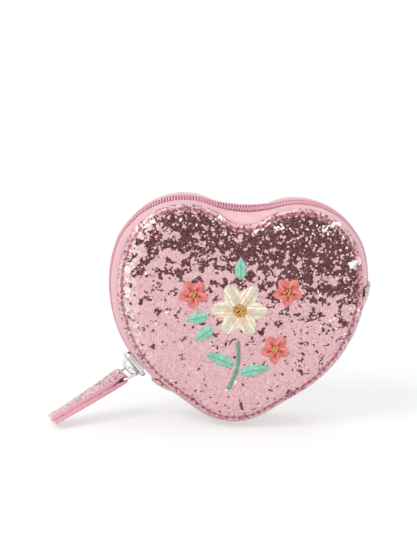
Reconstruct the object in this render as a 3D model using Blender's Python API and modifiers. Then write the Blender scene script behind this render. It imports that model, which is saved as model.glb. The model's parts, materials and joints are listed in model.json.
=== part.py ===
"""Heart-shaped coin purse with a zip over its lobes, a slider, a pull ring and a folded leather pull.

Metres, +Z up, front towards -Y. The purse stands on its point and on the tip of its pull.
Run with: blender --background --python part.py
"""
import math

import bmesh
import bpy
from mathutils import Matrix, Vector

# Heart outline of the two panels
LOBE_SPACING = 0.0494
LOBE_RADIUS = 0.0274
FLANK_RADIUS = 0.0562
TIP_RADIUS = 0.0250
DIP_RADIUS = 0.0139
SHOULDER_ANGLE = math.radians(18.7)
FLANK_END_ANGLE = math.radians(55.6)

# Side wall between the panels
SIDE_BULGE = 0.0030
SIDE_DIP_RADIUS = 0.0590
TOP_SAG = 0.0021
TOP_SAG_RUN = 0.5
STRIP_WIDTH = 0.0078
STRIP_THICKNESS = 0.0010
GUSSET_THICKNESS = 0.0012
HEM_RUN = 0.0100
HEM_RISE = 0.0008

# Panels
PANEL_THICKNESS = 0.0012
PANEL_CROWN = 0.0028
PANEL_ROLL = 0.0110
ROLL_POWER = 2.5
ROLL_RINGS = 5
ROLL_CROWDING = 2.3
PADDING_THICKNESS = 0.0023
LINING_THICKNESS = 0.0006

# Zip
ZIP_END_LEFT_ANGLE = math.radians(-50.0)
ZIP_END_RIGHT_ANGLE = math.radians(1.6)
TAPE_THICKNESS = 0.0005
TAPE_SHOWING = 0.0011
TAPE_SEAM = 0.0031
TOOTH_WIDTH = 0.0010
TOOTH_ROOT = 0.0007
TOOTH_HEIGHT = 0.0018
TOOTH_PITCH = 0.0030
TEETH_FROM_END = 0.0050
TEETH_FROM_SLIDER = 0.0016

# Slider, bridge, ring and pull
SLIDER_ANGLE = math.radians(-40.3)
SLIDER_LENGTH = 0.0128
SLIDER_TOP_WIDTH = 0.0078
SLIDER_BOTTOM_WIDTH = 0.0066
SLIDER_TAPER = 0.8
SLIDER_CORNER = 0.0018
TOP_PLATE_THICKNESS = 0.0013
BOTTOM_PLATE_THICKNESS = 0.0009
FLANGE_LENGTH = 0.0048
FLANGE_OFFSET = 0.0008
POST_THICKNESS = 0.0006
POST_LENGTH = 0.0034
POST_OFFSET = 0.0035
BRIDGE_LENGTH = 0.0092
BRIDGE_WIDTH = 0.0026
BRIDGE_THICKNESS = 0.0010
BRIDGE_SQUARENESS = 0.62
RING_WIRE = 0.0011
RING_LENGTH = 0.0070
RING_CORNER = 0.0016
RING_OFFSET = -0.0020
RING_ANGLE = math.radians(203.0)
PULL_YAW = math.radians(21.0)
PULL_LENGTH = 0.0355
PULL_WIDTH = 0.0100
PULL_NECK_WIDTH = 0.0080
PULL_THICKNESS = 0.0042
PULL_FOLD_THICKNESS = 0.0016
PULL_OPEN_LENGTH = 0.0062
PULL_TIP_CORNER = 0.0007
EDGE_ROUND = 0.00025

# Embroidery on the front panel: places are X and height over the point of the heart
FLOWER_CENTRE = (0.0, 0.0550)
FLOWER_RADIUS = 0.0130
FLOWER_PETALS = 6
BLOSSOM_CENTRES = [(-0.0205, 0.0615), (0.0205, 0.0640), (0.0165, 0.0380)]
BLOSSOM_RADIUS = 0.0068
BLOSSOM_PETALS = 5
PETAL_NOTCH = 0.24
FLOWER_LEAVES = [math.radians(angle) for angle in (92, 193, 217)]
FLOWER_LEAF_LENGTH = 0.0105
STEM_TOP = (0.0, 0.0405)
STEM_FOOT = (-0.0030, 0.0190)
STEM_SWAY = 0.0020
STEM_WIDTH = 0.0014
STEM_LEAVES = [(0.0300, math.radians(160)), (0.0265, math.radians(12))]
STEM_LEAF_LENGTH = 0.0145
LEAF_WIDTH = 0.0056
LEAF_FULLNESS = 0.8
THREAD_THICKNESS = 0.0005

# Fit and mesh fineness
CLEARANCE = 0.0003
STATION_SPACING = 0.0065
DEPTH_SPACING = 0.0026
MERGE_DISTANCE = 0.000001
SLOPE_STEP = 0.00005
SMOOTH_ANGLE = math.radians(35)
CORNER_STEPS = 3
FOLD_STEPS = 8
ARCH_STEPS = 14
POINTS_PER_PETAL = 6
LEAF_STEPS = 5
STEM_STEPS = 6

# Places that follow from the sizes above, measured from the middle of the depth
slot_half = POST_THICKNESS / 2 + CLEARANCE
tooth_root_edge = slot_half + TOOTH_WIDTH
tooth_outer_edge = tooth_root_edge + TOOTH_ROOT
strip_edge = tooth_outer_edge + TAPE_SHOWING
tape_edge = strip_edge + TAPE_SEAM
strip_seam = strip_edge + STRIP_WIDTH
seam_depth = strip_seam + CLEARANCE
tape_depth = STRIP_THICKNESS + CLEARANCE
plateau_depth = seam_depth + PANEL_CROWN
lining_depth = seam_depth + PANEL_CROWN - PANEL_THICKNESS - PADDING_THICKNESS - 2 * CLEARANCE
lining_inset = GUSSET_THICKNESS + LINING_THICKNESS + CLEARANCE

COLOURS = {
    "glitter": ((0.78, 0.46, 0.52), 0.35, 0.0),
    "strip": ((0.86, 0.52, 0.58), 0.45, 0.0),
    "foam": ((0.85, 0.84, 0.80), 0.90, 0.0),
    "lining": ((0.82, 0.55, 0.60), 0.65, 0.0),
    "tape": ((0.72, 0.36, 0.44), 0.85, 0.0),
    "teeth": ((0.62, 0.28, 0.36), 0.40, 0.0),
    "nickel": ((0.80, 0.79, 0.77), 0.22, 1.0),
    "thread_cream": ((0.90, 0.83, 0.70), 0.60, 0.0),
    "thread_coral": ((0.88, 0.32, 0.30), 0.60, 0.0),
    "thread_mint": ((0.38, 0.72, 0.60), 0.60, 0.0),
}


class HeartOutline:
    """Tangent arcs from the tip up the right flank, over the lobe to the dip, mirrored for the left.

    A place on it is a number from 0 at the tip to 10 back at the tip: 5 pieces on each side.
    grow moves every piece outwards; the dip keeps its own radius where one is given.
    """

    def __init__(self, grow=0.0, dip_radius=None):
        lobe_x = LOBE_SPACING / 2
        lobe_r = LOBE_RADIUS + grow
        flank_r = FLANK_RADIUS + grow
        tip_r = TIP_RADIUS + grow
        dip_r = DIP_RADIUS - grow if dip_radius is None else dip_radius
        reach = FLANK_RADIUS - LOBE_RADIUS
        flank_x = lobe_x - reach * math.cos(SHOULDER_ANGLE)
        out_x, out_z = math.cos(FLANK_END_ANGLE), -math.sin(FLANK_END_ANGLE)
        tip_z = TIP_RADIUS + SIDE_BULGE
        flank_z = tip_z + (flank_x * out_x + FLANK_RADIUS - TIP_RADIUS) / -out_z
        lobe_z = flank_z + reach * math.sin(SHOULDER_ANGLE)
        dip_z = lobe_z + math.sqrt((lobe_r + dip_r) ** 2 - lobe_x ** 2)
        lobe_end = math.atan2(dip_z - lobe_z, -lobe_x)
        self.flank_centre = Vector((flank_x, flank_z))
        self.flank_radius = flank_r
        self.line = (Vector((tip_r * out_x, tip_z + tip_r * out_z)),
                     Vector((flank_x + flank_r * out_x, flank_z + flank_r * out_z)))
        self.line_normal = Vector((out_x, out_z))
        self.arcs = {
            0: (Vector((0.0, tip_z)), tip_r, -math.pi / 2, -FLANK_END_ANGLE),
            2: (self.flank_centre, flank_r, -FLANK_END_ANGLE, SHOULDER_ANGLE),
            3: (Vector((lobe_x, lobe_z)), lobe_r, SHOULDER_ANGLE, lobe_end),
            4: (Vector((0.0, dip_z)), -dip_r, lobe_end, math.pi / 2),
        }

    def right(self, place):
        """Point and outward normal for a place from 0 to 5."""
        piece = min(int(place), 4)
        share = place - piece
        if piece == 1:
            start, end = self.line
            return start.lerp(end, share), self.line_normal.copy()
        centre, radius, first, last = self.arcs[piece]
        angle = first + (last - first) * share
        normal = Vector((math.cos(angle), math.sin(angle)))
        return centre + normal * radius, normal

    def at(self, place):
        """Point and outward normal for any place, the left side being the right one mirrored."""
        place = place % 10
        if place <= 5:
            return self.right(place)
        point, normal = self.right(10 - place)
        return Vector((-point.x, point.y)), Vector((-normal.x, normal.y))

    def piece_length(self, piece):
        if piece == 1:
            return (self.line[1] - self.line[0]).length
        _, radius, first, last = self.arcs[piece]
        return abs(radius * (last - first))

    def place_at(self, length):
        """Place for a length along the outline from the tip, going up the right side."""
        total = 2 * sum(self.piece_length(piece) for piece in range(5))
        length = length % total
        mirrored = length > total / 2
        left_over = total - length if mirrored else length
        place = 5.0
        for piece in range(5):
            span = self.piece_length(piece)
            if left_over <= span:
                place = piece + left_over / span
                break
            left_over -= span
        return 10 - place if mirrored else place

    def length_at_flank(self, angle):
        """Length from the tip to an angle on the right flank's arc."""
        before = self.piece_length(0) + self.piece_length(1)
        return before + self.flank_radius * (angle + FLANK_END_ANGLE)

    def total_length(self):
        return 2 * sum(self.piece_length(piece) for piece in range(5))


PANEL = HeartOutline()
CREST = HeartOutline(SIDE_BULGE, SIDE_DIP_RADIUS)
zip_right_end = CREST.length_at_flank(ZIP_END_RIGHT_ANGLE)
zip_left_end = CREST.total_length() - CREST.length_at_flank(ZIP_END_LEFT_ANGLE)


def crest_point(place):
    """Point in the middle of the side wall, which sags between the panels over the lobes."""
    over_lobe = min(max((min(place, 10 - place) - 3) / TOP_SAG_RUN, 0.0), 1.0)
    sag = TOP_SAG * over_lobe ** 2 * (3 - 2 * over_lobe)
    return CREST.at(place)[0] - Vector((0.0, sag))


def wall_point(length, depth_y):
    """Point of the side wall's outer face, bulging from the panels' edges to the crest."""
    place = CREST.place_at(length)
    share = 1 - min(abs(depth_y) / seam_depth, 1.0) ** 2
    point = PANEL.at(place)[0].lerp(crest_point(place), share)
    return Vector((point.x, depth_y, point.y))


def side_point(length, depth_y, inward):
    """Point of the side wall, moved square to its outer face by the distance inward."""
    along = wall_point(length + SLOPE_STEP, depth_y) - wall_point(length - SLOPE_STEP, depth_y)
    across = wall_point(length, depth_y + SLOPE_STEP) - wall_point(length, depth_y - SLOPE_STEP)
    return wall_point(length, depth_y) + along.cross(across).normalized() * inward


def material(slot):
    if slot in bpy.data.materials:
        return bpy.data.materials[slot]
    colour, roughness, metallic = COLOURS[slot]
    made = bpy.data.materials.new(slot)
    made.use_nodes = True
    shader = made.node_tree.nodes["Principled BSDF"]
    shader.inputs["Base Color"].default_value = (*colour, 1.0)
    shader.inputs["Roughness"].default_value = roughness
    shader.inputs["Metallic"].default_value = metallic
    made.diffuse_color = (*colour, 1.0)
    return made


def collection(name):
    if name not in bpy.data.collections:
        bpy.context.scene.collection.children.link(bpy.data.collections.new(name))
    return bpy.data.collections[name]


def add_object(name, data, slot, parent=None):
    made = bpy.data.objects.new(name, data)
    collection("heart_coin_purse").objects.link(made)
    data.materials.append(material(slot))
    made.parent = parent
    if parent:
        made.matrix_parent_inverse = world_matrix(parent).inverted()
    return made


def world_matrix(empty):
    """World matrix of an empty whose parents are empties, without waiting for an update."""
    own = empty.matrix_basis
    if empty.parent:
        return world_matrix(empty.parent) @ empty.matrix_parent_inverse @ own
    return own.copy()


def add_empty(name, matrix, parent=None):
    made = bpy.data.objects.new(name, None)
    made.empty_display_size = 0.01
    collection("heart_coin_purse").objects.link(made)
    made.parent = parent
    if parent:
        made.matrix_parent_inverse = world_matrix(parent).inverted()
    made.matrix_basis = matrix
    return made


def mesh_from(bm, name, smooth=True):
    mesh = bpy.data.meshes.new(name)
    bm.to_mesh(mesh)
    bm.free()
    if smooth:
        mesh.shade_smooth()
        mesh.set_sharp_from_angle(angle=SMOOTH_ANGLE)
    return mesh


def solidify(made, thickness):
    shell = made.modifiers.new("thickness", "SOLIDIFY")
    shell.thickness = thickness
    shell.offset = -1
    shell.use_even_offset = True
    return made


def mapped_grid(columns, rows, place):
    """Grid of faces whose corners are put where place(column, row) says."""
    bm = bmesh.new()
    bmesh.ops.create_grid(bm, x_segments=columns, y_segments=rows, size=1)
    for vert in bm.verts:
        column = round((vert.co.x + 1) / 2 * columns)
        row = round((vert.co.y + 1) / 2 * rows)
        vert.co = place(column, row)
    return bm


def side_band(name, slot, parent, span, depths, inward, thickness, hem_rise=0.0):
    """Sheet that follows the side wall between two lengths and two depths, given its thickness."""
    start, end = span
    first, last = depths
    columns = max(2, round((end - start) / STATION_SPACING))
    rows = max(1, round((last - first) / DEPTH_SPACING))

    def place(column, row):
        length = start + (end - start) * column / columns
        depth_y = first + (last - first) * row / rows
        from_end = min(length - start, end - length)
        lift = hem_rise * max(0.0, 1 - (from_end / HEM_RUN) ** 2)
        return side_point(length, depth_y, inward - lift)

    bm = mapped_grid(columns, rows, place)
    bmesh.ops.reverse_faces(bm, faces=bm.faces)
    return solidify(add_object(name, mesh_from(bm, name), slot, parent), thickness)


def roll_profile(inset):
    """Depth of the panel's outer face at a distance in from its edge."""
    share = min(inset / PANEL_ROLL, 1.0)
    return seam_depth + PANEL_CROWN * (1 - (1 - share) ** ROLL_POWER) ** (1 / ROLL_POWER)


def heart_dish(name, slot, parent, side, rings, closed):
    """Skin of heart-shaped rings, each an inset and a depth, capped at the last and maybe the first."""
    stations = round(CREST.total_length() / STATION_SPACING)
    outlines = [HeartOutline(-inset) for inset, _ in rings]
    places = [CREST.place_at(CREST.total_length() * index / stations) for index in range(stations)]

    def place(column, row):
        point, _ = outlines[row].at(places[column % stations])
        return Vector((point.x, side * rings[row][1], point.y))

    bm = mapped_grid(stations, len(rings) - 1, place)
    bmesh.ops.remove_doubles(bm, verts=bm.verts, dist=MERGE_DISTANCE)
    capped = [rings[-1], rings[0]] if closed else [rings[-1]]
    for _, depth in capped:
        rim = [edge for edge in bm.edges if edge.is_boundary
               and all(abs(abs(vert.co.y) - depth) < MERGE_DISTANCE for vert in edge.verts)]
        bmesh.ops.contextual_create(bm, geom=rim)
    bmesh.ops.recalc_face_normals(bm, faces=bm.faces)
    top = max(bm.faces, key=lambda face: face.calc_area())
    outermost = max(bm.faces, key=lambda face: side * face.calc_center_median().y)
    if (outermost if closed else top).normal.y * side < 0:
        bmesh.ops.reverse_faces(bm, faces=bm.faces)
    return add_object(name, mesh_from(bm, name), slot, parent)


def zip_teeth(name, parent, side, span):
    """Comb of teeth that point at the middle of the zip, bent round the crest."""
    start, end = span
    count = int((end - start) / TOOTH_PITCH)
    columns = 2 * count
    step = TOOTH_PITCH / 2
    bm = bmesh.new()
    bmesh.ops.create_grid(bm, x_segments=columns, y_segments=1, size=1)
    for vert in bm.verts:
        vert.co.x = start + round((vert.co.x + 1) / 2 * columns) * step
        vert.co.y = tooth_outer_edge if vert.co.y > 0 else tooth_root_edge
    tooth_edges = [edge for edge in bm.edges
                   if all(abs(vert.co.y - tooth_root_edge) < MERGE_DISTANCE for vert in edge.verts)
                   and int(((edge.verts[0].co.x + edge.verts[1].co.x) / 2 - start) / step) % 2 == 0]
    for edge in tooth_edges:
        grown = bmesh.ops.extrude_edge_only(bm, edges=[edge])
        for vert in grown["geom"]:
            if isinstance(vert, bmesh.types.BMVert):
                vert.co.y = slot_half
    for vert in bm.verts:
        vert.co = side_point(vert.co.x, side * vert.co.y, STRIP_THICKNESS - TOOTH_HEIGHT)
    bmesh.ops.recalc_face_normals(bm, faces=bm.faces)
    bm.faces.ensure_lookup_table()
    face = bm.faces[0]
    centre = face.calc_center_median()
    outward = Vector((centre.x, 0.0, centre.z - PANEL.flank_centre.y))
    if face.normal.dot(outward) < 0:
        bmesh.ops.reverse_faces(bm, faces=bm.faces)
    return solidify(add_object(name, mesh_from(bm, name, smooth=False), "teeth", parent), TOOTH_HEIGHT)


def build_half(prefix, side, parent, teeth_end):
    """Panel, padding, lining, strip, tape and teeth of the front (side -1) or back (side 1) half."""
    insets = [PANEL_ROLL * (ring / ROLL_RINGS) ** ROLL_CROWDING for ring in range(ROLL_RINGS + 1)]
    panel_rings = [(inset, roll_profile(inset)) for inset in insets]
    panel = heart_dish(prefix + "_panel", "glitter", parent, side, panel_rings, closed=False)
    solidify(panel, PANEL_THICKNESS)

    foam_drop = PANEL_THICKNESS + CLEARANCE
    foam_front = plateau_depth - foam_drop
    foam_edge = 2 * foam_drop
    foam_rings = [(foam_edge, foam_front - PADDING_THICKNESS)]
    foam_rings += [(inset, roll_profile(inset - foam_drop) - foam_drop)
                   for inset in (foam_edge, (foam_edge + PANEL_ROLL) / 2)]
    foam_rings.append((PANEL_ROLL, foam_front))
    heart_dish(prefix + "_padding", "foam", parent, side, foam_rings, closed=True)

    lining_rings = [(lining_inset, lining_depth - LINING_THICKNESS), (lining_inset, lining_depth)]
    heart_dish(prefix + "_lining", "lining", parent, side, lining_rings, closed=True)

    zip_span = (zip_right_end + CLEARANCE, zip_left_end - CLEARANCE)
    depths = sorted((side * strip_edge, side * strip_seam))
    side_band(prefix + "_zip_strip", "strip", parent, zip_span, depths, 0.0, STRIP_THICKNESS)
    depths = sorted((side * slot_half, side * tape_edge))
    side_band(prefix + "_zip_tape", "tape", parent, zip_span, depths, tape_depth, TAPE_THICKNESS)
    depths = sorted((side * (tape_edge + CLEARANCE), side * (lining_depth - CLEARANCE)))
    side_band(prefix + "_strip_lining", "lining", parent, zip_span, depths, tape_depth, LINING_THICKNESS)
    zip_teeth(prefix + "_zip_teeth", parent, side, (zip_right_end + TEETH_FROM_END, teeth_end))


def build_gusset(parent):
    """Glitter band under the point of the heart and its lining, from one zip end to the other."""
    span = (zip_left_end - CREST.total_length(), zip_right_end)
    side_band("bottom_gusset", "glitter", parent, span, (-strip_seam, strip_seam), 0.0,
              GUSSET_THICKNESS, HEM_RISE)
    inner = lining_depth - CLEARANCE
    side_band("gusset_lining", "lining", parent, span, (-inner, inner),
              GUSSET_THICKNESS + CLEARANCE, LINING_THICKNESS)


def slider_frame():
    """Matrix at the crest under the slider: X up along the zip, Y the depth, Z outwards."""
    centre = Vector((-CREST.flank_centre.x, CREST.flank_centre.y))
    outward = Vector((-math.cos(SLIDER_ANGLE), math.sin(SLIDER_ANGLE)))
    point = centre + outward * CREST.flank_radius
    normal = Vector((outward.x, 0, outward.y))
    depth = Vector((0, 1, 0))
    along = depth.cross(normal)
    turn = Matrix((along, depth, normal)).transposed().to_4x4()
    return Matrix.Translation((point.x, 0, point.y)) @ turn


def block(low, high, corner=0.0, taper=1.0):
    """Box between two corners, its upright edges rounded and its -X end narrowed by taper."""
    bm = bmesh.new()
    bmesh.ops.create_cube(bm, size=1)
    for vert in bm.verts:
        share = [(vert.co[axis] + 0.5) for axis in range(3)]
        vert.co = Vector([low[axis] + (high[axis] - low[axis]) * share[axis] for axis in range(3)])
        if share[0] < 0.5:
            vert.co.y *= taper
    if corner:
        upright = [edge for edge in bm.edges
                   if abs(edge.verts[0].co.x - edge.verts[1].co.x) < MERGE_DISTANCE
                   and abs(edge.verts[0].co.y - edge.verts[1].co.y) < MERGE_DISTANCE]
        bmesh.ops.bevel(bm, geom=upright, offset=corner, segments=CORNER_STEPS, profile=0.5,
                        affect="EDGES", material=-1)
    return bm


def unite(target, matrix, pieces):
    """Join blocks to an object with Boolean unions, each block kept as a hidden guide."""
    for index, piece in enumerate(pieces):
        name = "{}_{}".format(target.name, index)
        guide = bpy.data.objects.new("join_" + name, mesh_from(piece, name, smooth=False))
        collection("joining_guides").objects.link(guide)
        guide.parent = target.parent
        if target.parent:
            guide.matrix_parent_inverse = world_matrix(target.parent).inverted()
        guide.matrix_basis = matrix
        guide.hide_render = True
        guide.display_type = "WIRE"
        union = target.modifiers.new("join", "BOOLEAN")
        union.operation = "UNION"
        union.solver = "EXACT"
        union.object = guide


def build_slider(parent):
    """Slider with a plate above and a plate below the tapes, joined by the post between the rows."""
    frame = slider_frame()
    half = SLIDER_LENGTH / 2
    sag = half ** 2 / (2 * CREST.flank_radius)
    drop = SIDE_BULGE * (SLIDER_BOTTOM_WIDTH / 2 / seam_depth) ** 2
    top_low = TOOTH_HEIGHT - STRIP_THICKNESS + CLEARANCE
    bottom_high = -(tape_depth + TAPE_THICKNESS + sag + drop + CLEARANCE)
    top = (top_low, top_low + TOP_PLATE_THICKNESS)
    bottom = (bottom_high - BOTTOM_PLATE_THICKNESS, bottom_high)
    top_half, bottom_half = SLIDER_TOP_WIDTH / 2, SLIDER_BOTTOM_WIDTH / 2
    top_plate = block((-half, -top_half, top[0]), (half, top_half, top[1]), SLIDER_CORNER, SLIDER_TAPER)
    body = add_object("slider_body", mesh_from(top_plate, "slider_body", smooth=False), "nickel", parent)
    body.matrix_basis = frame
    post_from = POST_OFFSET - POST_LENGTH / 2
    post_to = POST_OFFSET + POST_LENGTH / 2
    pieces = [
        block((-half, -bottom_half, bottom[0]), (half, bottom_half, bottom[1]), SLIDER_CORNER,
              SLIDER_TAPER),
        block((post_from, -POST_THICKNESS / 2, sum(bottom) / 2),
              (post_to, POST_THICKNESS / 2, sum(top) / 2)),
    ]
    flange_inner = tooth_outer_edge + CLEARANCE
    flange_outer = strip_edge - CLEARANCE
    flange_low = top_low - TOOTH_HEIGHT
    for side in (-1, 1):
        low_y, high_y = sorted((side * flange_inner, side * flange_outer))
        pieces.append(block((FLANGE_OFFSET - FLANGE_LENGTH / 2, low_y, flange_low),
                            (FLANGE_OFFSET + FLANGE_LENGTH / 2, high_y, sum(top) / 2)))
    unite(body, frame, pieces)
    return top[1]


def outline_object(name, slot, parent, matrix, splines, thickness, edge_round=0.0):
    """Flat shape cut out along closed splines of 2D points, extruded by its thickness."""
    curve = bpy.data.curves.new(name, "CURVE")
    curve.dimensions = "2D"
    curve.fill_mode = "BOTH"
    curve.extrude = thickness / 2 - edge_round
    curve.bevel_depth = edge_round
    curve.bevel_resolution = 1
    curve.offset = -edge_round
    for points in splines:
        spline = curve.splines.new("POLY")
        spline.points.add(len(points) - 1)
        for spot, (x, y) in zip(spline.points, points):
            spot.co = (x, y, 0, 1)
        spline.use_cyclic_u = True
    made = add_object(name, curve, slot, parent)
    made.matrix_basis = matrix
    return made


def arch_points(half_length, height):
    """Points of an arch from its right foot over the top to its left foot."""
    points = []
    for index in range(ARCH_STEPS + 1):
        angle = math.pi * index / ARCH_STEPS
        across = math.copysign(abs(math.cos(angle)) ** BRIDGE_SQUARENESS, math.cos(angle))
        up = abs(math.sin(angle)) ** BRIDGE_SQUARENESS
        points.append((across * half_length, up * height))
    return points


def bar_height(plate_top):
    """Height of the ring's bar over the slider, which clears the plate although the ring is turned."""
    narrowing = (1 - SLIDER_TAPER) * (0.5 - RING_OFFSET / SLIDER_LENGTH)
    lean = SLIDER_TOP_WIDTH / 2 * (1 - narrowing) * math.tan(PULL_YAW) * math.cos(SLIDER_ANGLE)
    return plate_top + CLEARANCE + RING_WIRE / 2 + lean


def build_bridge(parent, plate_top):
    """Arch on the slider's upper plate that the ring hangs in."""
    foot = plate_top + CLEARANCE
    lean = BRIDGE_WIDTH / 2 * math.tan(PULL_YAW)
    inner = bar_height(plate_top) + RING_WIRE / 2 + lean + CLEARANCE - foot
    outer_arch = arch_points(BRIDGE_LENGTH / 2, inner + BRIDGE_THICKNESS)
    inner_arch = arch_points(BRIDGE_LENGTH / 2 - BRIDGE_THICKNESS, inner)
    turn = Matrix.Rotation(math.pi / 2, 4, "X")
    matrix = slider_frame() @ Matrix.Translation((0, 0, foot)) @ turn
    return outline_object("slider_bridge", "nickel", parent, matrix,
                          [outer_arch + inner_arch[::-1]], BRIDGE_WIDTH, EDGE_ROUND)


def pull_frame(origin, direction):
    """Matrix with X along the pull, Y the turned depth axis and Z square to both."""
    yaw = Matrix.Rotation(PULL_YAW, 4, "Z")
    tilt = Matrix.Rotation(math.pi - direction, 4, "Y")
    mirror = Matrix.Rotation(math.pi, 4, "Z")
    return Matrix.Translation(origin) @ yaw @ tilt @ mirror


def build_ring(parent, frame):
    """Wire ring, a rounded rectangle from the bar in the bridge to the bar in the pull."""
    inner_width = PULL_NECK_WIDTH + 2 * CLEARANCE + RING_WIRE / 2
    side = (inner_width + RING_WIRE) / 2 - RING_CORNER
    near, far = RING_CORNER, RING_LENGTH - RING_CORNER
    points = []
    for quarter, (x, y) in enumerate([(far, side), (near, side), (near, -side), (far, -side)]):
        for index in range(CORNER_STEPS + 1):
            angle = math.pi / 2 * (quarter + index / CORNER_STEPS)
            points.append((x + RING_CORNER * math.cos(angle), y + RING_CORNER * math.sin(angle)))
    curve = bpy.data.curves.new("pull_ring", "CURVE")
    curve.dimensions = "3D"
    curve.bevel_depth = RING_WIRE / 2
    curve.bevel_resolution = 2
    spline = curve.splines.new("POLY")
    spline.points.add(len(points) - 1)
    for spot, (x, y) in zip(spline.points, points):
        spot.co = (x, y, 0, 1)
    spline.use_cyclic_u = True
    made = add_object("pull_ring", curve, "nickel", parent)
    made.matrix_basis = frame
    return made


def pull_outline():
    """Side view of the folded pull: round the ring's bar, along both layers and squared at its tip."""
    fold = RING_WIRE / 2 + CLEARANCE + PULL_FOLD_THICKNESS
    half = PULL_THICKNESS / 2
    points = []
    for index in range(FOLD_STEPS + 1):
        angle = math.pi / 2 + math.pi * index / FOLD_STEPS
        points.append((fold * math.cos(angle), fold * math.sin(angle)))
    points += [(PULL_OPEN_LENGTH / 2, -(fold + half) / 2), (PULL_OPEN_LENGTH, -half)]
    points += [(PULL_LENGTH - PULL_TIP_CORNER, -half), (PULL_LENGTH, -half + PULL_TIP_CORNER)]
    points += [(PULL_LENGTH, half - PULL_TIP_CORNER), (PULL_LENGTH - PULL_TIP_CORNER, half)]
    points += [(PULL_OPEN_LENGTH, half), (PULL_OPEN_LENGTH / 2, (fold + half) / 2)]
    return points


def eye_outline():
    """Opening of the fold round the ring's bar, running to a point between the two layers."""
    radius = RING_WIRE / 2 + CLEARANCE
    tangent = math.acos(radius / PULL_OPEN_LENGTH)
    points = [(PULL_OPEN_LENGTH, 0.0)]
    for index in range(FOLD_STEPS + 1):
        angle = tangent + 2 * (math.pi - tangent) * index / FOLD_STEPS
        points.append((radius * math.cos(angle), radius * math.sin(angle)))
    return points


def build_pull(parent, frame):
    """Folded leather pull, cut as one side view and narrowed to a neck at the ring."""
    turn = Matrix.Rotation(math.pi / 2, 4, "X")
    cut = outline_object("strap_outline", "glitter", parent, frame @ turn,
                         [pull_outline(), eye_outline()], PULL_WIDTH, EDGE_ROUND)
    bpy.context.view_layer.update()
    flat = bpy.data.meshes.new_from_object(cut.evaluated_get(bpy.context.evaluated_depsgraph_get()))
    bm = bmesh.new()
    bm.from_mesh(flat)
    bpy.data.meshes.remove(flat)
    bpy.data.curves.remove(cut.data)
    bmesh.ops.remove_doubles(bm, verts=bm.verts, dist=MERGE_DISTANCE)
    for vert in bm.verts:
        widening = min(max(vert.co.x / PULL_OPEN_LENGTH, 0.0), 1.0)
        width = PULL_NECK_WIDTH + (PULL_WIDTH - PULL_NECK_WIDTH) * widening
        vert.co.z *= width / PULL_WIDTH
    strap = add_object("pull_strap", mesh_from(bm, "pull_strap"), "glitter", parent)
    strap.matrix_basis = frame @ turn
    return strap


def round_petals(centre, radius, petals):
    """Scalloped flower outline."""
    points = []
    count = petals * POINTS_PER_PETAL
    for index in range(count):
        angle = 2 * math.pi * index / count
        reach = radius * (1 - PETAL_NOTCH + PETAL_NOTCH * abs(math.sin(petals * angle / 2)))
        points.append((centre[0] + reach * math.sin(angle), centre[1] + reach * math.cos(angle)))
    return points


def leaf_outline(base, direction, length):
    """Pointed leaf that starts at its base and lies along a direction."""
    along = Vector((math.cos(direction), math.sin(direction)))
    across = Vector((-along.y, along.x))
    upper, lower = [], []
    for index in range(1, LEAF_STEPS):
        share = index / LEAF_STEPS
        half_width = math.sin(math.pi * share ** LEAF_FULLNESS) * LEAF_WIDTH / 2
        middle = Vector(base) + along * share * length
        upper.append(middle + across * half_width)
        lower.append(middle - across * half_width)
    points = [Vector(base)] + upper + [Vector(base) + along * length] + lower[::-1]
    return [tuple(point) for point in points]


def stem_middle(share):
    """Point of the stem's middle line, from its top to its foot, swaying to one side."""
    top, foot = Vector(STEM_TOP), Vector(STEM_FOOT)
    return top.lerp(foot, share) + Vector((math.sin(math.pi * share) * STEM_SWAY, 0))


def stem_outline():
    """Both sides of the stem, down one and up the other."""
    middle = [stem_middle(index / STEM_STEPS) for index in range(STEM_STEPS + 1)]
    half = Vector((STEM_WIDTH / 2, 0))
    return [tuple(point + half) for point in middle] + [tuple(point - half) for point in middle[::-1]]


def build_embroidery(parent):
    """Posy stitched on the front panel: a wide flower, three blossoms, leaves and a stem."""
    motifs = [("embroidered_flower", "thread_cream",
               round_petals(FLOWER_CENTRE, FLOWER_RADIUS, FLOWER_PETALS))]
    for number, centre in enumerate(BLOSSOM_CENTRES, start=1):
        motifs.append(("embroidered_blossom_{}".format(number), "thread_coral",
                       round_petals(centre, BLOSSOM_RADIUS, BLOSSOM_PETALS)))
    leaves = []
    for angle in FLOWER_LEAVES:
        away = Vector((math.cos(angle), math.sin(angle))) * (FLOWER_RADIUS + 2 * CLEARANCE)
        leaves.append((Vector(FLOWER_CENTRE) + away, angle, FLOWER_LEAF_LENGTH))
    for height, angle in STEM_LEAVES:
        share = (STEM_TOP[1] - height) / (STEM_TOP[1] - STEM_FOOT[1])
        side = math.copysign(STEM_WIDTH / 2 + 2 * CLEARANCE, math.cos(angle))
        leaves.append((stem_middle(share) + Vector((side, 0)), angle, STEM_LEAF_LENGTH))
    for number, (base, angle, length) in enumerate(leaves, start=1):
        motifs.append(("embroidered_leaf_{}".format(number), "thread_mint",
                       leaf_outline(base, angle, length)))
    motifs.append(("embroidered_stem", "thread_mint", stem_outline()))
    depth = plateau_depth + CLEARANCE + THREAD_THICKNESS / 2
    matrix = Matrix.Translation((0, -depth, 0)) @ Matrix.Rotation(math.pi / 2, 4, "X")
    for name, slot, points in motifs:
        outline_object(name, slot, parent, matrix, [points], THREAD_THICKNESS)


def zip_end_points():
    """Crest points of the left and right zip ends, which the open purse turns about."""
    left, _ = CREST.at(CREST.place_at(zip_left_end))
    right, _ = CREST.at(CREST.place_at(zip_right_end))
    return Vector((left.x, 0, left.y)), Vector((right.x, 0, right.y))


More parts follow.
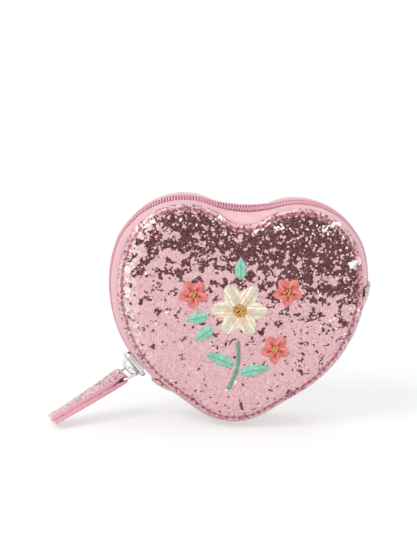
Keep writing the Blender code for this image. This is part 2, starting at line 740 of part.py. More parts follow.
def stand_on_origin(base):
    """Move everything so that the bottom centre of the whole purse's box is the origin."""
    bpy.context.view_layer.update()
    graph = bpy.context.evaluated_depsgraph_get()
    low = Vector((math.inf,) * 3)
    high = Vector((-math.inf,) * 3)
    for made in collection("heart_coin_purse").objects:
        if made.type == "EMPTY":
            continue
        shown = made.evaluated_get(graph)
        mesh = shown.to_mesh()
        for vert in mesh.vertices:
            spot = shown.matrix_world @ vert.co
            low = Vector(map(min, low, spot))
            high = Vector(map(max, high, spot))
        shown.to_mesh_clear()
    base.location = Vector((-(low.x + high.x) / 2, -(low.y + high.y) / 2, -low.z))
    bpy.context.view_layer.update()


def build():
    for old in list(bpy.data.objects):
        bpy.data.objects.remove(old, do_unlink=True)

    base = add_empty("purse_base", Matrix.Identity(4))
    left, right = zip_end_points()
    chord = (right - left).normalized()
    hinge_turn = Matrix((chord, Vector((0, 1, 0)), chord.cross(Vector((0, 1, 0))))).transposed()
    hinge = add_empty("case_hinge", Matrix.Translation(left) @ hinge_turn.to_4x4(), base)
    centre = Vector((-CREST.flank_centre.x, 0, CREST.flank_centre.y))
    travel = add_empty("slider_arc_centre", Matrix.Translation(centre), base)

    slider_half_angle = SLIDER_LENGTH / 2 / CREST.flank_radius
    slider_length = CREST.total_length() - CREST.length_at_flank(SLIDER_ANGLE + slider_half_angle)
    teeth_end = slider_length - TEETH_FROM_SLIDER
    build_half("back", 1, base, teeth_end)
    build_half("front", -1, hinge, teeth_end)
    build_gusset(base)
    build_embroidery(hinge)

    plate_top = build_slider(travel)
    build_bridge(travel, plate_top)
    pivot = slider_frame() @ Vector((RING_OFFSET, 0, bar_height(plate_top)))
    ring_frame = pull_frame(pivot, RING_ANGLE)
    ring_pivot = add_empty("ring_pivot", ring_frame, travel)
    build_ring(ring_pivot, ring_frame)

    fold_bar = ring_frame @ Vector((RING_LENGTH, 0, 0))
    lean = math.atan2(PULL_THICKNESS / 2, PULL_LENGTH)
    dip = math.asin(min(1.0, fold_bar.z / math.hypot(PULL_LENGTH, PULL_THICKNESS / 2))) - lean
    strap_frame = pull_frame(fold_bar, math.pi + dip)
    strap_pivot = add_empty("strap_pivot", strap_frame, ring_pivot)
    build_pull(strap_pivot, strap_frame)
    stand_on_origin(base)


build()
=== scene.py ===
"""Heart-shaped coin purse of pink glitter leatherette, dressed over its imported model.

Metres, +Z up, front towards -Y. The file is laid out as an add-on and is run as a script.
"""
import functools
import json
import math

import bmesh
import bpy
from mathutils import Matrix, Vector, noise


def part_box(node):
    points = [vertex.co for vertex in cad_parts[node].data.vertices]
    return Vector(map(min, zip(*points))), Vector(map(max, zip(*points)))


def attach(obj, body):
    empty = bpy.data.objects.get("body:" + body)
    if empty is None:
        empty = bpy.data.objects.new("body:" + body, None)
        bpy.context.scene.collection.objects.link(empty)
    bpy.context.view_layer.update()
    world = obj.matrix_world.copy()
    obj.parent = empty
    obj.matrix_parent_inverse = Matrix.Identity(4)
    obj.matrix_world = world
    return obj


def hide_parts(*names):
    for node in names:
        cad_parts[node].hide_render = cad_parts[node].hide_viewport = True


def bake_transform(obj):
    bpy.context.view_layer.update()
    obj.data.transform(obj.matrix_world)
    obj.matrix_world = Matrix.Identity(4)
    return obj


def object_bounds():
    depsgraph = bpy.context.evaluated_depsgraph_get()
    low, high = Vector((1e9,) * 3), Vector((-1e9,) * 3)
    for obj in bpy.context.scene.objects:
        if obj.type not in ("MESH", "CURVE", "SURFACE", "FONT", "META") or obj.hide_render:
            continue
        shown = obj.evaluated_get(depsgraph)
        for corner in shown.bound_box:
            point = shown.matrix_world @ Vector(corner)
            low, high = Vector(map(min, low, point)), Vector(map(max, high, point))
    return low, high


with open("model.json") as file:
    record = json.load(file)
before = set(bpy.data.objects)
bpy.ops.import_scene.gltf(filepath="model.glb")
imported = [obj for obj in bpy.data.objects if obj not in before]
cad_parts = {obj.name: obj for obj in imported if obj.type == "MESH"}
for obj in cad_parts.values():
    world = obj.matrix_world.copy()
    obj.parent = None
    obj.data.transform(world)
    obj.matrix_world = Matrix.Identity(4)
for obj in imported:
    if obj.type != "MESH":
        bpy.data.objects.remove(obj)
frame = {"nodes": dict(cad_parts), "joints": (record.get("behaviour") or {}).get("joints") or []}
cad_low, cad_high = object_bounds()

bl_info = {
    "name": "Heart coin purse",
    "version": (1, 0, 0),
    "blender": (4, 5, 0),
    "location": "View3D > Sidebar > Purse",
    "description": "Builds a padded heart-shaped coin purse with a coil zip and an embroidered posy",
    "category": "Object",
}

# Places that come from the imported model
panel_low, panel_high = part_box("front_panel")
strip_low, strip_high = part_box("front_zip_strip")
tape_low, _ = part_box("front_zip_tape")
lining_low, lining_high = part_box("front_lining")
middle_y = (panel_low.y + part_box("back_panel")[1].y) / 2
axis_x = (lining_low.x + lining_high.x) / 2
panel_middle = Vector((axis_x, (panel_low.z + panel_high.z) / 2))
seam_depth = middle_y - panel_high.y
plateau_depth = middle_y - panel_low.y
strip_edge = middle_y - strip_high.y
tape_edge = middle_y - tape_low.y
lining_depth = middle_y - lining_low.y
joints = {joint["name"]: joint for joint in frame["joints"]}

# Names and sides of the halves, a side being the sign of its depth
HALVES = (("front", -1), ("back", 1))
TO_BACK = Vector((0.0, 1.0, 0.0))
MILLIMETRE = 0.001

# Mesh fineness
COLUMNS_PER_STITCH = 4
EDGE_RINGS = 30
EDGE_CROWDING = 1.3
CENTRE_RINGS = 14
BAND_SPACING = 0.0016
BAND_FACE_WIDTH = 0.002
LINING_COLUMNS = 120
LINING_RINGS = 16
LINING_CROWDING = 0.8
COIL_STEPS = 12
ARCH_STEPS = 28
CORNER_STEPS = 8
STRAP_STEPS = 26
OPENING_STEPS = 12
FOLD_STEPS = 8
PATCH_COLUMNS = 12
PATCH_ROWS = 18
STEM_COLUMNS = 8
STEM_ROWS = 36

# Small allowances, and how square to Z a face is that counts as flat
FLAT_FACING = 0.99
SLOPE_STEP = 0.00005
MERGE_DISTANCE = 0.000001
EDGE_GAP = 0.0003
BRIDGE_GAP = 0.0001
LINING_INSET = 0.0021

# Unevenness of the leather, the bands and the lining
FINER_WAVES = 0.4
FINER_SCALE = 2.7
STRIP_WAVES = 0.00006
GUSSET_WAVES = 0.00018
GUSSET_LINING_WAVES = 0.00015
STRIP_LINING_WAVES = 0.0001
GATHERS = 17
GATHER_HEIGHT = 0.00016
GATHER_DRIFT = 3
GATHER_START = 0.72
GATHER_STEEPNESS = 4
LINING_SWELL = 0.0003
LINING_SWELL_SIZE = 0.016

# Glitter: sizes of the flakes, how the plum ones spread, and the seam's inset in millimetres
COARSE_FLAKE = 0.00086
FINE_FLAKE = 0.00036
PLUM_SLANT = 0.24
PLUM_HEIGHT = 0.092
PLUM_POWER = 2.3
PLUM_CLUSTERS = 235.0
PLUM_LEVEL_LOW = 0.638
PLUM_LEVEL_HIGH = 0.373
SEAM_INSET = 2.1

# Nickel: how fine the scuffs are along each axis, and the direction whose faces get painted light, faces
# turned away getting painted shade
SCUFF_SCALE = (2600.0, 700.0, 2600.0)
PAINTED_LIGHT_SIDE = (-0.30, -0.50, 0.80)

# Sewing thread's height as a share of its width, and the pull's painted edges and bend
STITCH_RISE = 0.62
EDGE_FACING = 0.55
BANK_POWER = 0.7
LIFT_POWER = 1.5

# Pitches of the embroidery threads, in millimetres
SATIN_PITCH = 0.55
SHADING_PITCH = 0.3
STEM_PITCH = 0.7

# Petals, their veins and the knots between them, placed as shares of the flower's reach
PETAL_START = 0.16
PETAL_END = 0.985
PETAL_BELLY = 0.62
VEIN_START = 0.24
VEIN_END = 0.62
VEIN_STAGGER = 0.07
KNOTS_REACH = 0.22

# Forms of the embroidery
PATCH_ENDS = 8
PETAL_FULLNESS = 0.86
PETAL_NECK = 0.30
PETAL_POWER = 0.85
PETAL_TIP = 7
PETAL_TIP_LEAST = 0.12
VEIN_FAN = 0.16
VEIN_BED = 0.6
VEIN_WIDTH = 0.0004
KNOT_CROWDING = 0.72
KNOT_FLATNESS = 2.6
GOLDEN_ANGLE = math.pi * (3 - math.sqrt(5))
LEAF_POWER = 0.8
LEAF_SLANT = 0.9
LEAF_LEAST = 0.00008
LEAF_VEIN_MIDDLE = 0.46
LEAF_VEIN_REACH = 0.4
LEAF_VEIN_WIDTH = 0.00022
LEAF_VEIN_RISE = 0.00016
STEM_SLANT = 1.2


def length(name, description, default):
    """Property in metres."""
    return bpy.props.FloatProperty(name=name, description=description, default=default,
                                   unit="LENGTH", precision=5)


def angle(name, description, degrees):
    """Property in radians, given in degrees."""
    return bpy.props.FloatProperty(name=name, description=description, unit="ROTATION",
                                   default=math.radians(degrees))


def factor(name, description, default):
    """Property without a unit."""
    return bpy.props.FloatProperty(name=name, description=description, default=default)


def colour(name, description, default):
    """Colour property."""
    return bpy.props.FloatVectorProperty(name=name, description=description, subtype="COLOR",
                                         size=3, min=0.0, max=1.0, default=default)


class PurseShape(bpy.types.PropertyGroup):
    """Sizes of the leather body."""
    lobe_spacing: length("Lobe spacing", "Between the centres of the two lobes", 0.0494)
    lobe_radius: length("Lobe radius", "Radius of each lobe's arc", 0.0274)
    flank_radius: length("Flank radius", "Radius of the arc down each side", 0.0562)
    tip_radius: length("Tip radius", "Radius of the point of the heart", 0.0250)
    dip_radius: length("Dip radius", "Radius of the panels' dip between the lobes", 0.0139)
    shoulder: angle("Shoulder", "Where a lobe's arc meets the flank's", 18.7)
    flank_end: angle("Flank end", "Where a flank's arc meets the straight run", 55.6)
    side_bulge: length("Side bulge", "How far the side wall stands out past the panels", 0.0030)
    side_dip_radius: length("Side dip radius", "Radius of the dip along the zip", 0.0590)
    top_sag: length("Top sag", "How far the side wall sags between the panels over the lobes", 0.0025)
    top_sag_start: factor("Top sag start", "Place on the outline where the sag begins", 2.80)
    top_sag_run: factor("Top sag run", "Run of places over which the sag comes in", 0.45)
    zip_lean: angle("Zip lean", "Lean of the zip and its strips towards the front", 14.0)
    zip_lean_start: factor("Zip lean start", "Place on the outline where that lean begins", 3.05)
    zip_lean_run: factor("Zip lean run", "Run of places over which the lean comes in", 0.80)
    panel_roll: length("Panel roll", "Width of the panels' rounded edge", 0.0110)
    roll_power: factor("Roll power", "Squareness of the rounded edge", 2.5)
    panel_swell: length("Panel swell", "Extra height of the padding at its middle", 0.0006)
    swell_reach: length("Swell reach", "Distance over which that swell fades", 0.0380)
    unevenness: length("Unevenness", "Height of the soft waves in the leatherette", 0.00012)
    wave_size: length("Wave size", "Width of those waves", 0.0065)
    leather_thickness: length("Leather thickness", "Thickness of the leatherette", 0.0010)
    strip_puff: length("Strip puff", "How far the strips stand proud between their seams", 0.00022)
    gusset_thickness: length("Gusset thickness", "Thickness of the gusset's leatherette", 0.0012)
    gusset_drop: length("Gusset drop", "Depth of the gusset's face under the side wall's", 0.00035)
    gusset_puff: length("Gusset puff", "How far the gusset stands proud between its seams", 0.0003)
    hem_rise: length("Hem rise", "Rise of the gusset's folded ends", 0.0016)
    hem_run: length("Hem run", "Distance over which the folded ends rise", 0.0100)
    lining_thickness: length("Lining thickness", "Thickness of the lining", 0.0006)
    gusset_lining_drop: length("Gusset lining drop", "Depth of that lining in the gusset", 0.0020)


class PurseSewing(bpy.types.PropertyGroup):
    """Sizes of the stitching and the zip."""
    stitch_inset: length("Stitch inset", "Distance of the topstitching from the edge", 0.0021)
    stitch_pitch: length("Stitch pitch", "Length of one stitch and its gap", 0.0029)
    stitch_cover: factor("Stitch cover", "Share of the pitch that the thread covers", 0.74)
    thread: length("Thread", "Thickness of the sewing thread", 0.00042)
    groove: length("Groove", "Depth that the stitching pulls into the padding", 0.00060)
    groove_width: length("Groove width", "Width of that pull", 0.00060)
    pucker: factor("Pucker", "Share that the groove deepens at each hole", 0.28)
    tape_thickness: length("Tape thickness", "Thickness of the zip's tape", 0.0005)
    tape_drop: length("Tape drop", "Depth of the tape under the strips' faces", 0.0013)
    tape_inner: length("Tape inner", "Distance of each tape's edge from the zip's middle", 0.0006)
    coil_pitch: length("Coil pitch", "Distance from one turn of the coil to the next", 0.00125)
    coil_wire: length("Coil wire", "Thickness of the coil's filament", 0.00090)
    coil_inner: length("Coil inner", "Distance of the turns' heads from the zip's middle", 0.00018)
    coil_outer: length("Coil outer", "Distance of the turns' backs from the zip's middle", 0.0029)
    coil_slant: length("Coil slant", "Slant of the turns across the row", 0.00028)
    coil_rise: length("Coil rise", "Height of the coil over the strips' faces", 0.00070)
    coil_start: length("Coil start", "Distance of the first turn from the zip's right end", 0.001)
    zip_left: angle("Zip left end", "Angle on the left flank where the zip ends", -50.0)
    zip_right: angle("Zip right end", "Angle on the right flank where the zip ends", 1.6)


class PurseHardware(bpy.types.PropertyGroup):
    """Sizes of the slider, its bridge, the ring and the pull."""
    slider_angle: angle("Slider angle", "Angle on the left flank where the slider is parked", -40.3)
    slider_length: length("Slider length", "Length of both plates", 0.0128)
    top_width: length("Top width", "Width of the upper plate", 0.0078)
    bottom_width: length("Bottom width", "Width of the lower plate", 0.0066)
    taper: factor("Taper", "Share of the plates' width that is left at the tail", 0.93)
    top_plate: length("Top plate", "Thickness of the upper plate", 0.0018)
    bottom_plate: length("Bottom plate", "Thickness of the lower plate", 0.0009)
    plate_corner: length("Plate corner", "Radius of the plates' corners", 0.0018)
    plate_edge: length("Plate edge", "Rounding of the plates' lower rims", 0.00028)
    plate_crown: length("Plate crown", "Rounding of the upper plate's upper rim", 0.0008)
    skirt_offset: length("Skirt offset", "Place of the side skirts from the slider's middle", 0.0008)
    skirt_length: length("Skirt length", "Length of the side skirts", 0.0092)
    skirt_thickness: length("Skirt thickness", "Thickness of the side skirts", 0.0007)
    skirt_low: length("Skirt low", "Height of the skirts' lower edge over the crest", -0.0001)
    top_gap: length("Top gap", "Height of the upper plate over the strips' faces", 0.0016)
    slider_lean: angle("Slider lean", "Lean of the upper plate and the bridge towards the front", 17.0)
    bottom_gap: length("Bottom gap", "Depth of the lower plate under them", 0.0027)
    post_offset: length("Post offset", "Place of the post from the slider's middle", 0.0035)
    post_length: length("Post length", "Length of the post", 0.0034)
    post_width: length("Post width", "Width of the post between the rows", 0.0003)
    bridge_length: length("Bridge length", "Length of the arch", 0.0092)
    bridge_width: length("Bridge width", "Width of the arch", 0.0026)
    bridge_thickness: length("Bridge thickness", "Thickness of the arch", 0.0010)
    bridge_edge: length("Bridge edge", "Rounding of the arch's edges", 0.0003)
    bridge_squareness: factor("Bridge squareness", "Power of the arch's curve", 0.62)
    ring_wire: length("Ring wire", "Thickness of the ring's wire", 0.0011)
    ring_corner: length("Ring corner", "Radius of the ring's corners", 0.0016)
    ring_clearance: length("Ring clearance", "Gap between the ring's bar and the fold round it", 0.0003)
    pull_length: length("Pull length", "Length from the ring's bar to the tip", 0.0362)
    pull_width: length("Pull width", "Width of the pull", 0.0100)
    neck_width: length("Neck width", "Width of the pull at the ring", 0.0080)
    pull_thickness: length("Pull thickness", "Thickness of both layers together", 0.0042)
    pull_edge: length("Pull edge", "Rounding of the pull's edges", 0.0004)
    fold_thickness: length("Fold thickness", "Thickness of the leather round the bar", 0.0016)
    open_length: length("Open length", "Length over which the layers close on each other", 0.0062)
    layer_gap: length("Layer gap", "Groove that shows between the layers", 0.00030)
    core_inset: length("Core inset", "Depth of that groove", 0.00030)
    bank: angle("Bank", "Twist of the pull that lowers its far edge at the tip", 19.0)
    tip_lift: length("Tip lift", "Extra height that keeps the banked tip off the floor", 0.0004)
    bow: length("Bow", "How far the tip bends to the front", 0.0046)
    sag: length("Sag", "How far the pull's middle hangs below a straight line", 0.0006)


class PurseEmbroidery(bpy.types.PropertyGroup):
    """Sizes of the embroidered posy."""
    puff: length("Puff", "Height of the satin stitch over the leather", 0.00085)
    bed: length("Bed", "How far the stitch edges sink into the leather", 0.00015)
    knot: length("Knot", "Width of a knot in the flowers' middles", 0.0011)
    flower_petals: bpy.props.IntProperty(name="Flower petals", description="Petals of the flower",
                                         default=6, min=3)
    blossom_petals: bpy.props.IntProperty(name="Blossom petals", description="Petals of a blossom",
                                          default=5, min=3)
    leaf_width: length("Leaf width", "Width of a leaf", 0.0056)
    stem_width: length("Stem width", "Width of the stem", 0.0017)


class PurseColours(bpy.types.PropertyGroup):
    """Colours of the finishes."""
    glitter: colour("Glitter", "Main colour of the glitter", (0.735, 0.455, 0.478))
    plum: colour("Plum", "Flakes that read dark", (0.048, 0.012, 0.014))
    mauve: colour("Mauve", "Half-dark flakes among them", (0.300, 0.120, 0.130))
    rose: colour("Rose", "Deeper flakes along the stitching", (0.500, 0.110, 0.190))
    # Painted highlight: the white of flakes painted as glints and of the painted sheen.
    painted_highlight: colour("Painted highlight", "Flakes that catch the light", (1.0, 0.97, 0.96))
    leather: colour("Leather", "Smooth leatherette of the strips", (0.748, 0.450, 0.482))
    paint: colour("Paint", "Painted edges of the pull", (0.725, 0.325, 0.390))
    # A paler copy of the edge paint: painted light on the pull's lit end face.
    cut: colour("Cut end", "Squared end of the pull", (0.900, 0.560, 0.620))
    tape: colour("Tape", "Woven tape of the zip", (0.700, 0.330, 0.420))
    coil: colour("Coil", "Nylon coil of the zip", (0.740, 0.360, 0.448))
    thread: colour("Thread", "Sewing thread", (0.610, 0.205, 0.285))
    lining: colour("Lining", "Satin lining", (0.780, 0.480, 0.540))
    nickel: colour("Nickel", "Plated slider, bridge and ring", (0.800, 0.790, 0.775))
    cream: colour("Cream", "Flower thread", (0.900, 0.810, 0.640))
    peach: colour("Peach", "Shading thread of the flower", (0.840, 0.560, 0.360))
    coral: colour("Coral", "Blossom thread", (0.850, 0.235, 0.205))
    red: colour("Red", "Shading thread of the blossoms", (0.600, 0.040, 0.035))
    mint: colour("Mint", "Leaf thread", (0.300, 0.660, 0.510))
    teal: colour("Teal", "Stem thread and shading thread of the leaves", (0.110, 0.400, 0.290))
    gold: colour("Gold", "Knots in the flowers' middles", (0.720, 0.380, 0.035))


def eased(share):
    """Smooth step from 0 to 1."""
    share = min(max(share, 0.0), 1.0)
    return share * share * (3 - 2 * share)


def at_depth(point, depth):
    """Point in space for one in X and Z; depth is positive towards the back."""
    return Vector((point.x, middle_y + depth, point.y))


def corners_of(node_name):
    """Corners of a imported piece."""
    return [vert.co for vert in frame["nodes"][node_name].data.vertices]


def middle_of(node_name):
    """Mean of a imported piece's corners."""
    spots = corners_of(node_name)
    return sum(spots, Vector()) / len(spots)


class Outline:
    """Heart of tangent arcs: from the tip up the right flank, over the lobe to the dip, then mirrored.

    A place on it runs from 0 at the tip to 10 back at the tip, 5 pieces on each side.
    """

    def __init__(self, shape, grow=0.0, dip_radius=None):
        lobe_x = shape.lobe_spacing / 2
        lobe_r = shape.lobe_radius + grow
        flank_r = shape.flank_radius + grow
        tip_r = shape.tip_radius + grow
        dip_r = shape.dip_radius - grow if dip_radius is None else dip_radius
        reach = shape.flank_radius - shape.lobe_radius
        flank_x = lobe_x - reach * math.cos(shape.shoulder)
        out = Vector((math.cos(shape.flank_end), -math.sin(shape.flank_end)))
        tip_z = panel_low.z + shape.tip_radius
        flank_z = tip_z - (flank_x * out.x + shape.flank_radius - shape.tip_radius) / out.y
        lobe_z = flank_z + reach * math.sin(shape.shoulder)
        dip_z = lobe_z + math.sqrt((lobe_r + dip_r) ** 2 - lobe_x ** 2)
        lobe_end = math.atan2(dip_z - lobe_z, -lobe_x)
        self.flank_end = shape.flank_end
        self.flank_centre = Vector((flank_x, flank_z))
        self.flank_radius = flank_r
        self.line = (Vector((0.0, tip_z)) + out * tip_r, self.flank_centre + out * flank_r)
        self.arcs = {
            0: (Vector((0.0, tip_z)), tip_r, -math.pi / 2, -shape.flank_end),
            2: (self.flank_centre, flank_r, -shape.flank_end, shape.shoulder),
            3: (Vector((lobe_x, lobe_z)), lobe_r, shape.shoulder, lobe_end),
            4: (Vector((0.0, dip_z)), -dip_r, lobe_end, math.pi / 2),
        }
        self.spans = [self.piece_length(piece) for piece in range(5)]
        self.total = 2 * sum(self.spans)

    def piece_length(self, piece):
        """Length of one of the five pieces, of which the second is straight."""
        if piece == 1:
            return (self.line[1] - self.line[0]).length
        _, radius, first, last = self.arcs[piece]
        return abs(radius * (last - first))

    def at(self, place):
        """Point in X and Z for a place, the left side being the right one mirrored."""
        place = place % 10
        if place > 5:
            point = self.at(10 - place)
            return Vector((2 * axis_x - point.x, point.y))
        piece = min(int(place), 4)
        share = place - piece
        if piece == 1:
            point = self.line[0].lerp(self.line[1], share)
        else:
            centre, radius, first, last = self.arcs[piece]
            turn = first + (last - first) * share
            point = centre + Vector((math.cos(turn), math.sin(turn))) * radius
        return point + Vector((axis_x, 0.0))

    def place_at(self, along):
        """Place for a length along the outline from the tip, going up the right side."""
        along = along % self.total
        left_over = min(along, self.total - along)
        place = 5.0
        for piece, span in enumerate(self.spans):
            if left_over <= span:
                place = piece + left_over / span
                break
            left_over -= span
        return place if along <= self.total / 2 else 10 - place

    def places(self, count):
        """Places at even distances all the way round."""
        return [self.place_at(self.total * index / count) for index in range(count)]

    def at_flank(self, turn):
        """Length from the tip to an angle on the right flank's arc."""
        return self.spans[0] + self.spans[1] + self.flank_radius * (turn + self.flank_end)


class PurseBody:
    """Surfaces of the leather body, which every piece is laid on."""

    def __init__(self):
        self.shape = bpy.context.scene.purse_shape
        self.sewing = bpy.context.scene.purse_sewing
        self.rim = Outline(self.shape)
        self.crest = Outline(self.shape, self.shape.side_bulge, self.shape.side_dip_radius)
        self.stitch_line = Outline(self.shape, -self.sewing.stitch_inset)
        self.stitches = round(self.stitch_line.total / self.sewing.stitch_pitch)
        self.zip_start = self.crest.at_flank(self.sewing.zip_right)
        self.zip_end = self.crest.total - self.crest.at_flank(self.sewing.zip_left)
        self.zip_span = (self.zip_start + EDGE_GAP, self.zip_end - EDGE_GAP)

    def wall(self, along, depth):
        """Point of the side wall's outer face; depth is positive towards the back."""
        place = self.crest.place_at(along)
        shape = self.shape
        past = min(place, 10 - place)
        sag = shape.top_sag * eased((past - shape.top_sag_start) / shape.top_sag_run)
        lean = math.tan(shape.zip_lean) * eased((past - shape.zip_lean_start) / shape.zip_lean_run)
        share = 1 - min(abs(depth) / seam_depth, 1.0) ** 2
        low, high = self.rim.at(place), self.crest.at(place)
        point = low.lerp(high - Vector((0.0, sag)), share)
        point += (high - low).normalized() * lean * depth * share
        return at_depth(point, depth)

    def over_wall(self, along, depth, lift):
        """Point square off the side wall's outer face by lift."""
        run = self.wall(along + SLOPE_STEP, depth) - self.wall(along - SLOPE_STEP, depth)
        rise = self.wall(along, depth + SLOPE_STEP) - self.wall(along, depth - SLOPE_STEP)
        return self.wall(along, depth) - run.cross(rise).normalized() * lift

    def swell(self, x, z):
        """Height that the padding and the soft waves add to a panel's face."""
        reach = (Vector((x, z)) - panel_middle).length / self.shape.swell_reach
        spot = Vector((x, 0.0, z)) / self.shape.wave_size
        waves = noise.noise(spot) + FINER_WAVES * noise.noise(spot * FINER_SCALE)
        return self.shape.panel_swell * math.exp(-reach * reach) + self.shape.unevenness * waves

    def panel(self, inset, x, z, phase):
        """Depth of a panel's face at an inset from its edge, phase running 0 to 1 over each stitch."""
        share = min(inset / self.shape.panel_roll, 1.0)
        power = self.shape.roll_power
        height = (plateau_depth - seam_depth) * (1 - (1 - share) ** power) ** (1 / power)
        offset = (inset - self.sewing.stitch_inset) / self.sewing.groove_width
        hole = 1 + self.sewing.pucker * math.cos(2 * math.pi * phase)
        height -= self.sewing.groove * hole * math.exp(-offset * offset)
        return seam_depth + height + self.swell(x, z) * min(1.0, 2 * share)


def mapped_grid(columns, rows, place, uv=None):
    """Grid of faces whose corners are put where place(column, row) says, with a UV in millimetres."""
    bm = bmesh.new()
    layer = bm.loops.layers.uv.new("UVMap")
    bmesh.ops.create_grid(bm, x_segments=columns, y_segments=rows, size=1)
    for vert in bm.verts:
        column = round((vert.co.x + 1) / 2 * columns)
        row = round((vert.co.y + 1) / 2 * rows)
        if uv:
            for loop in vert.link_loops:
                loop[layer].uv = uv(column, row)
        vert.co = place(column, row)
    return bm


def close(bm):
    """Merge meeting corners, fill open ends and turn every face outwards."""
    bmesh.ops.remove_doubles(bm, verts=bm.verts, dist=MERGE_DISTANCE)
    rims = [edge for edge in bm.edges if edge.is_boundary]
    if rims:
        bmesh.ops.holes_fill(bm, edges=rims, sides=0)
    bmesh.ops.recalc_face_normals(bm, faces=bm.faces)
    return bm


def bar(path, profile):
    """Profile of (out, side) offsets swept along a path of (point, out, side, width of out)."""
    def place(column, row):
        point, out, side, thickness = path[column]
        off_out, off_side = profile[row % len(profile)]
        return point + out * (off_out * thickness) + side * off_side

    return close(mapped_grid(len(path) - 1, len(profile), place))


def outwards(points, index):
    """Direction square off a line of points in X and Z."""
    ahead = points[min(index + 1, len(points) - 1)] - points[max(index - 1, 0)]
    return TO_BACK.cross(ahead).normalized()


def strap_profile(width, corner, count):
    """Rounded rectangle, 1 wide along out and width along side."""
    rounding = corner / width * 2
    points = []
    for quarter, (out, side) in enumerate([(1, 1), (-1, 1), (-1, -1), (1, -1)]):
        for index in range(count + 1):
            turn = math.pi / 2 * (quarter + index / count)
            points.append((out * (0.5 - rounding) + math.cos(turn) * rounding,
                           side * (width / 2 - corner) + math.sin(turn) * corner))
    return points


def bead(bm, matrix, segments, rings):
    """Small sphere squeezed and placed by a matrix, for stitches and knots."""
    bmesh.ops.create_uvsphere(bm, u_segments=segments, v_segments=rings, radius=1.0, matrix=matrix)


def stitch(bm, matrix, size, rings):
    """Stitch along a matrix's X, given half its length, width and height."""
    lying = Matrix.Rotation(math.pi / 2, 4, "Y")
    bead(bm, matrix @ Matrix.Diagonal((*size, 1.0)) @ lying, 8, rings)


def frame_matrix(point, along, up):
    """Matrix with X along a run, Z up from the surface and Y across."""
    x = along.normalized()
    z = (up - x * up.dot(x)).normalized()
    return Matrix.Translation(point) @ Matrix((x, z.cross(x), z)).transposed().to_4x4()


def add_piece(name, bm, finishes, smooth=True, sharp=None):
    """Object made from a bmesh, with its finishes; edges over sharp degrees keep a crease."""
    mesh = bpy.data.meshes.new(name)
    bm.to_mesh(mesh)
    bm.free()
    if smooth:
        mesh.shade_smooth()
    if sharp:
        mesh.set_sharp_from_angle(angle=math.radians(sharp))
    for finish in finishes:
        mesh.materials.append(finish)
    piece = bpy.data.objects.new(name, mesh)
    bpy.context.scene.collection.objects.link(piece)
    return piece


def seat(piece, body, slot, *nodes):
    """Make a piece ride on a body and stand for the nodes it covers, which are hidden; slot is not used.
    """
    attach(piece, body)
    if nodes:
        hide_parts(*nodes)


def bridge_halves(piece, slot, *nodes):
    """Bake a piece's place into its mesh, riding on neither half, and hide the nodes it stands for; slot
    is not used.
    """
    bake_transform(piece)
    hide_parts(*nodes)


# Node helpers for the finishes

def feed(tree, made, inputs):
    """Give a node its inputs, each a value or another node's output."""
    for key, value in inputs.items():
        if isinstance(value, bpy.types.NodeSocket):
            tree.links.new(value, made.inputs[key])
        else:
            made.inputs[key].default_value = value
    return made


def node(tree, kind, inputs=None, **settings):
    """Shader node with its settings and its inputs."""
    made = tree.nodes.new("ShaderNode" + kind)
    for name, value in settings.items():
        setattr(made, name, value)
    return feed(tree, made, inputs or {})


def grouped(tree, group, inputs):
    """Outputs of a shader group that is given its inputs."""
    return node(tree, "Group", inputs, node_tree=group).outputs


def maths(tree, operation, first, second=0.0, third=0.0):
    """Output of a Math node."""
    return node(tree, "Math", {0: first, 1: second, 2: third}, operation=operation).outputs[0]


def product(tree, first, *others):
    """Several values multiplied."""
    for other in others:
        first = maths(tree, "MULTIPLY", first, other)
    return first


def vector_maths(tree, operation, inputs):
    """Output of a Vector Math node."""
    return node(tree, "VectorMath", inputs, operation=operation).outputs[0]


def ranged(tree, value, first, last, low=0.0, high=1.0):
    """Value from low to high, as a number from first to last."""
    return node(tree, "MapRange", {0: value, 1: low, 2: high, 3: first, 4: last}).outputs[0]


def smooth_range(tree, value, low, high, first=0.0, last=1.0):
    """Smooth step of a value from low to high, as a number from first to last."""
    return node(tree, "MapRange", {0: value, 1: low, 2: high, 3: first, 4: last},
                interpolation_type="SMOOTHSTEP").outputs[0]


def clouds(tree, spot, scale, detail, roughness=0.5):
    """Noise between 0 and 1, with a scale in waves per unit of the spot."""
    return node(tree, "TexNoise", {"Vector": spot, "Scale": scale, "Detail": detail,
                                   "Roughness": roughness}).outputs["Fac"]


def object_spot(tree):
    """Place on the object, in metres."""
    return node(tree, "TexCoord").outputs["Object"]


def toned(tree, value, tint):
    """Tint made darker or lighter by a value."""
    return node(tree, "HueSaturation", {"Value": value, "Color": (*tint, 1.0)}).outputs[0]


def blend_colour(tree, factor, first, second):
    """Mix of two colours, each a property's value or an output."""
    def ready(value):
        return value if isinstance(value, bpy.types.NodeSocket) else (*value, 1.0)
    made = node(tree, "Mix", {0: factor, 6: ready(first), 7: ready(second)}, data_type="RGBA")
    return made.outputs[2]


def bump(tree, height, strength, distance, normal=None):
    """Normal that a height raises by a distance in metres."""
    inputs = {"Height": height, "Strength": strength, "Distance": distance}
    if normal:
        inputs["Normal"] = normal
    return node(tree, "Bump", inputs).outputs[0]


# Effects that several finishes share

def shared_group(name, inputs, outputs, wire):
    """Shader group by its name, made at its first use; wire says what each output gets."""
    group = bpy.data.node_groups.get(name)
    if group is None:
        group = bpy.data.node_groups.new(name, "ShaderNodeTree")
        for way, sockets in (("INPUT", inputs), ("OUTPUT", outputs)):
            for label, kind in sockets.items():
                group.interface.new_socket(label, in_out=way, socket_type="NodeSocket" + kind)
        given = group.nodes.new("NodeGroupInput").outputs
        feed(group, group.nodes.new("NodeGroupOutput"), wire(group, given))
    return group


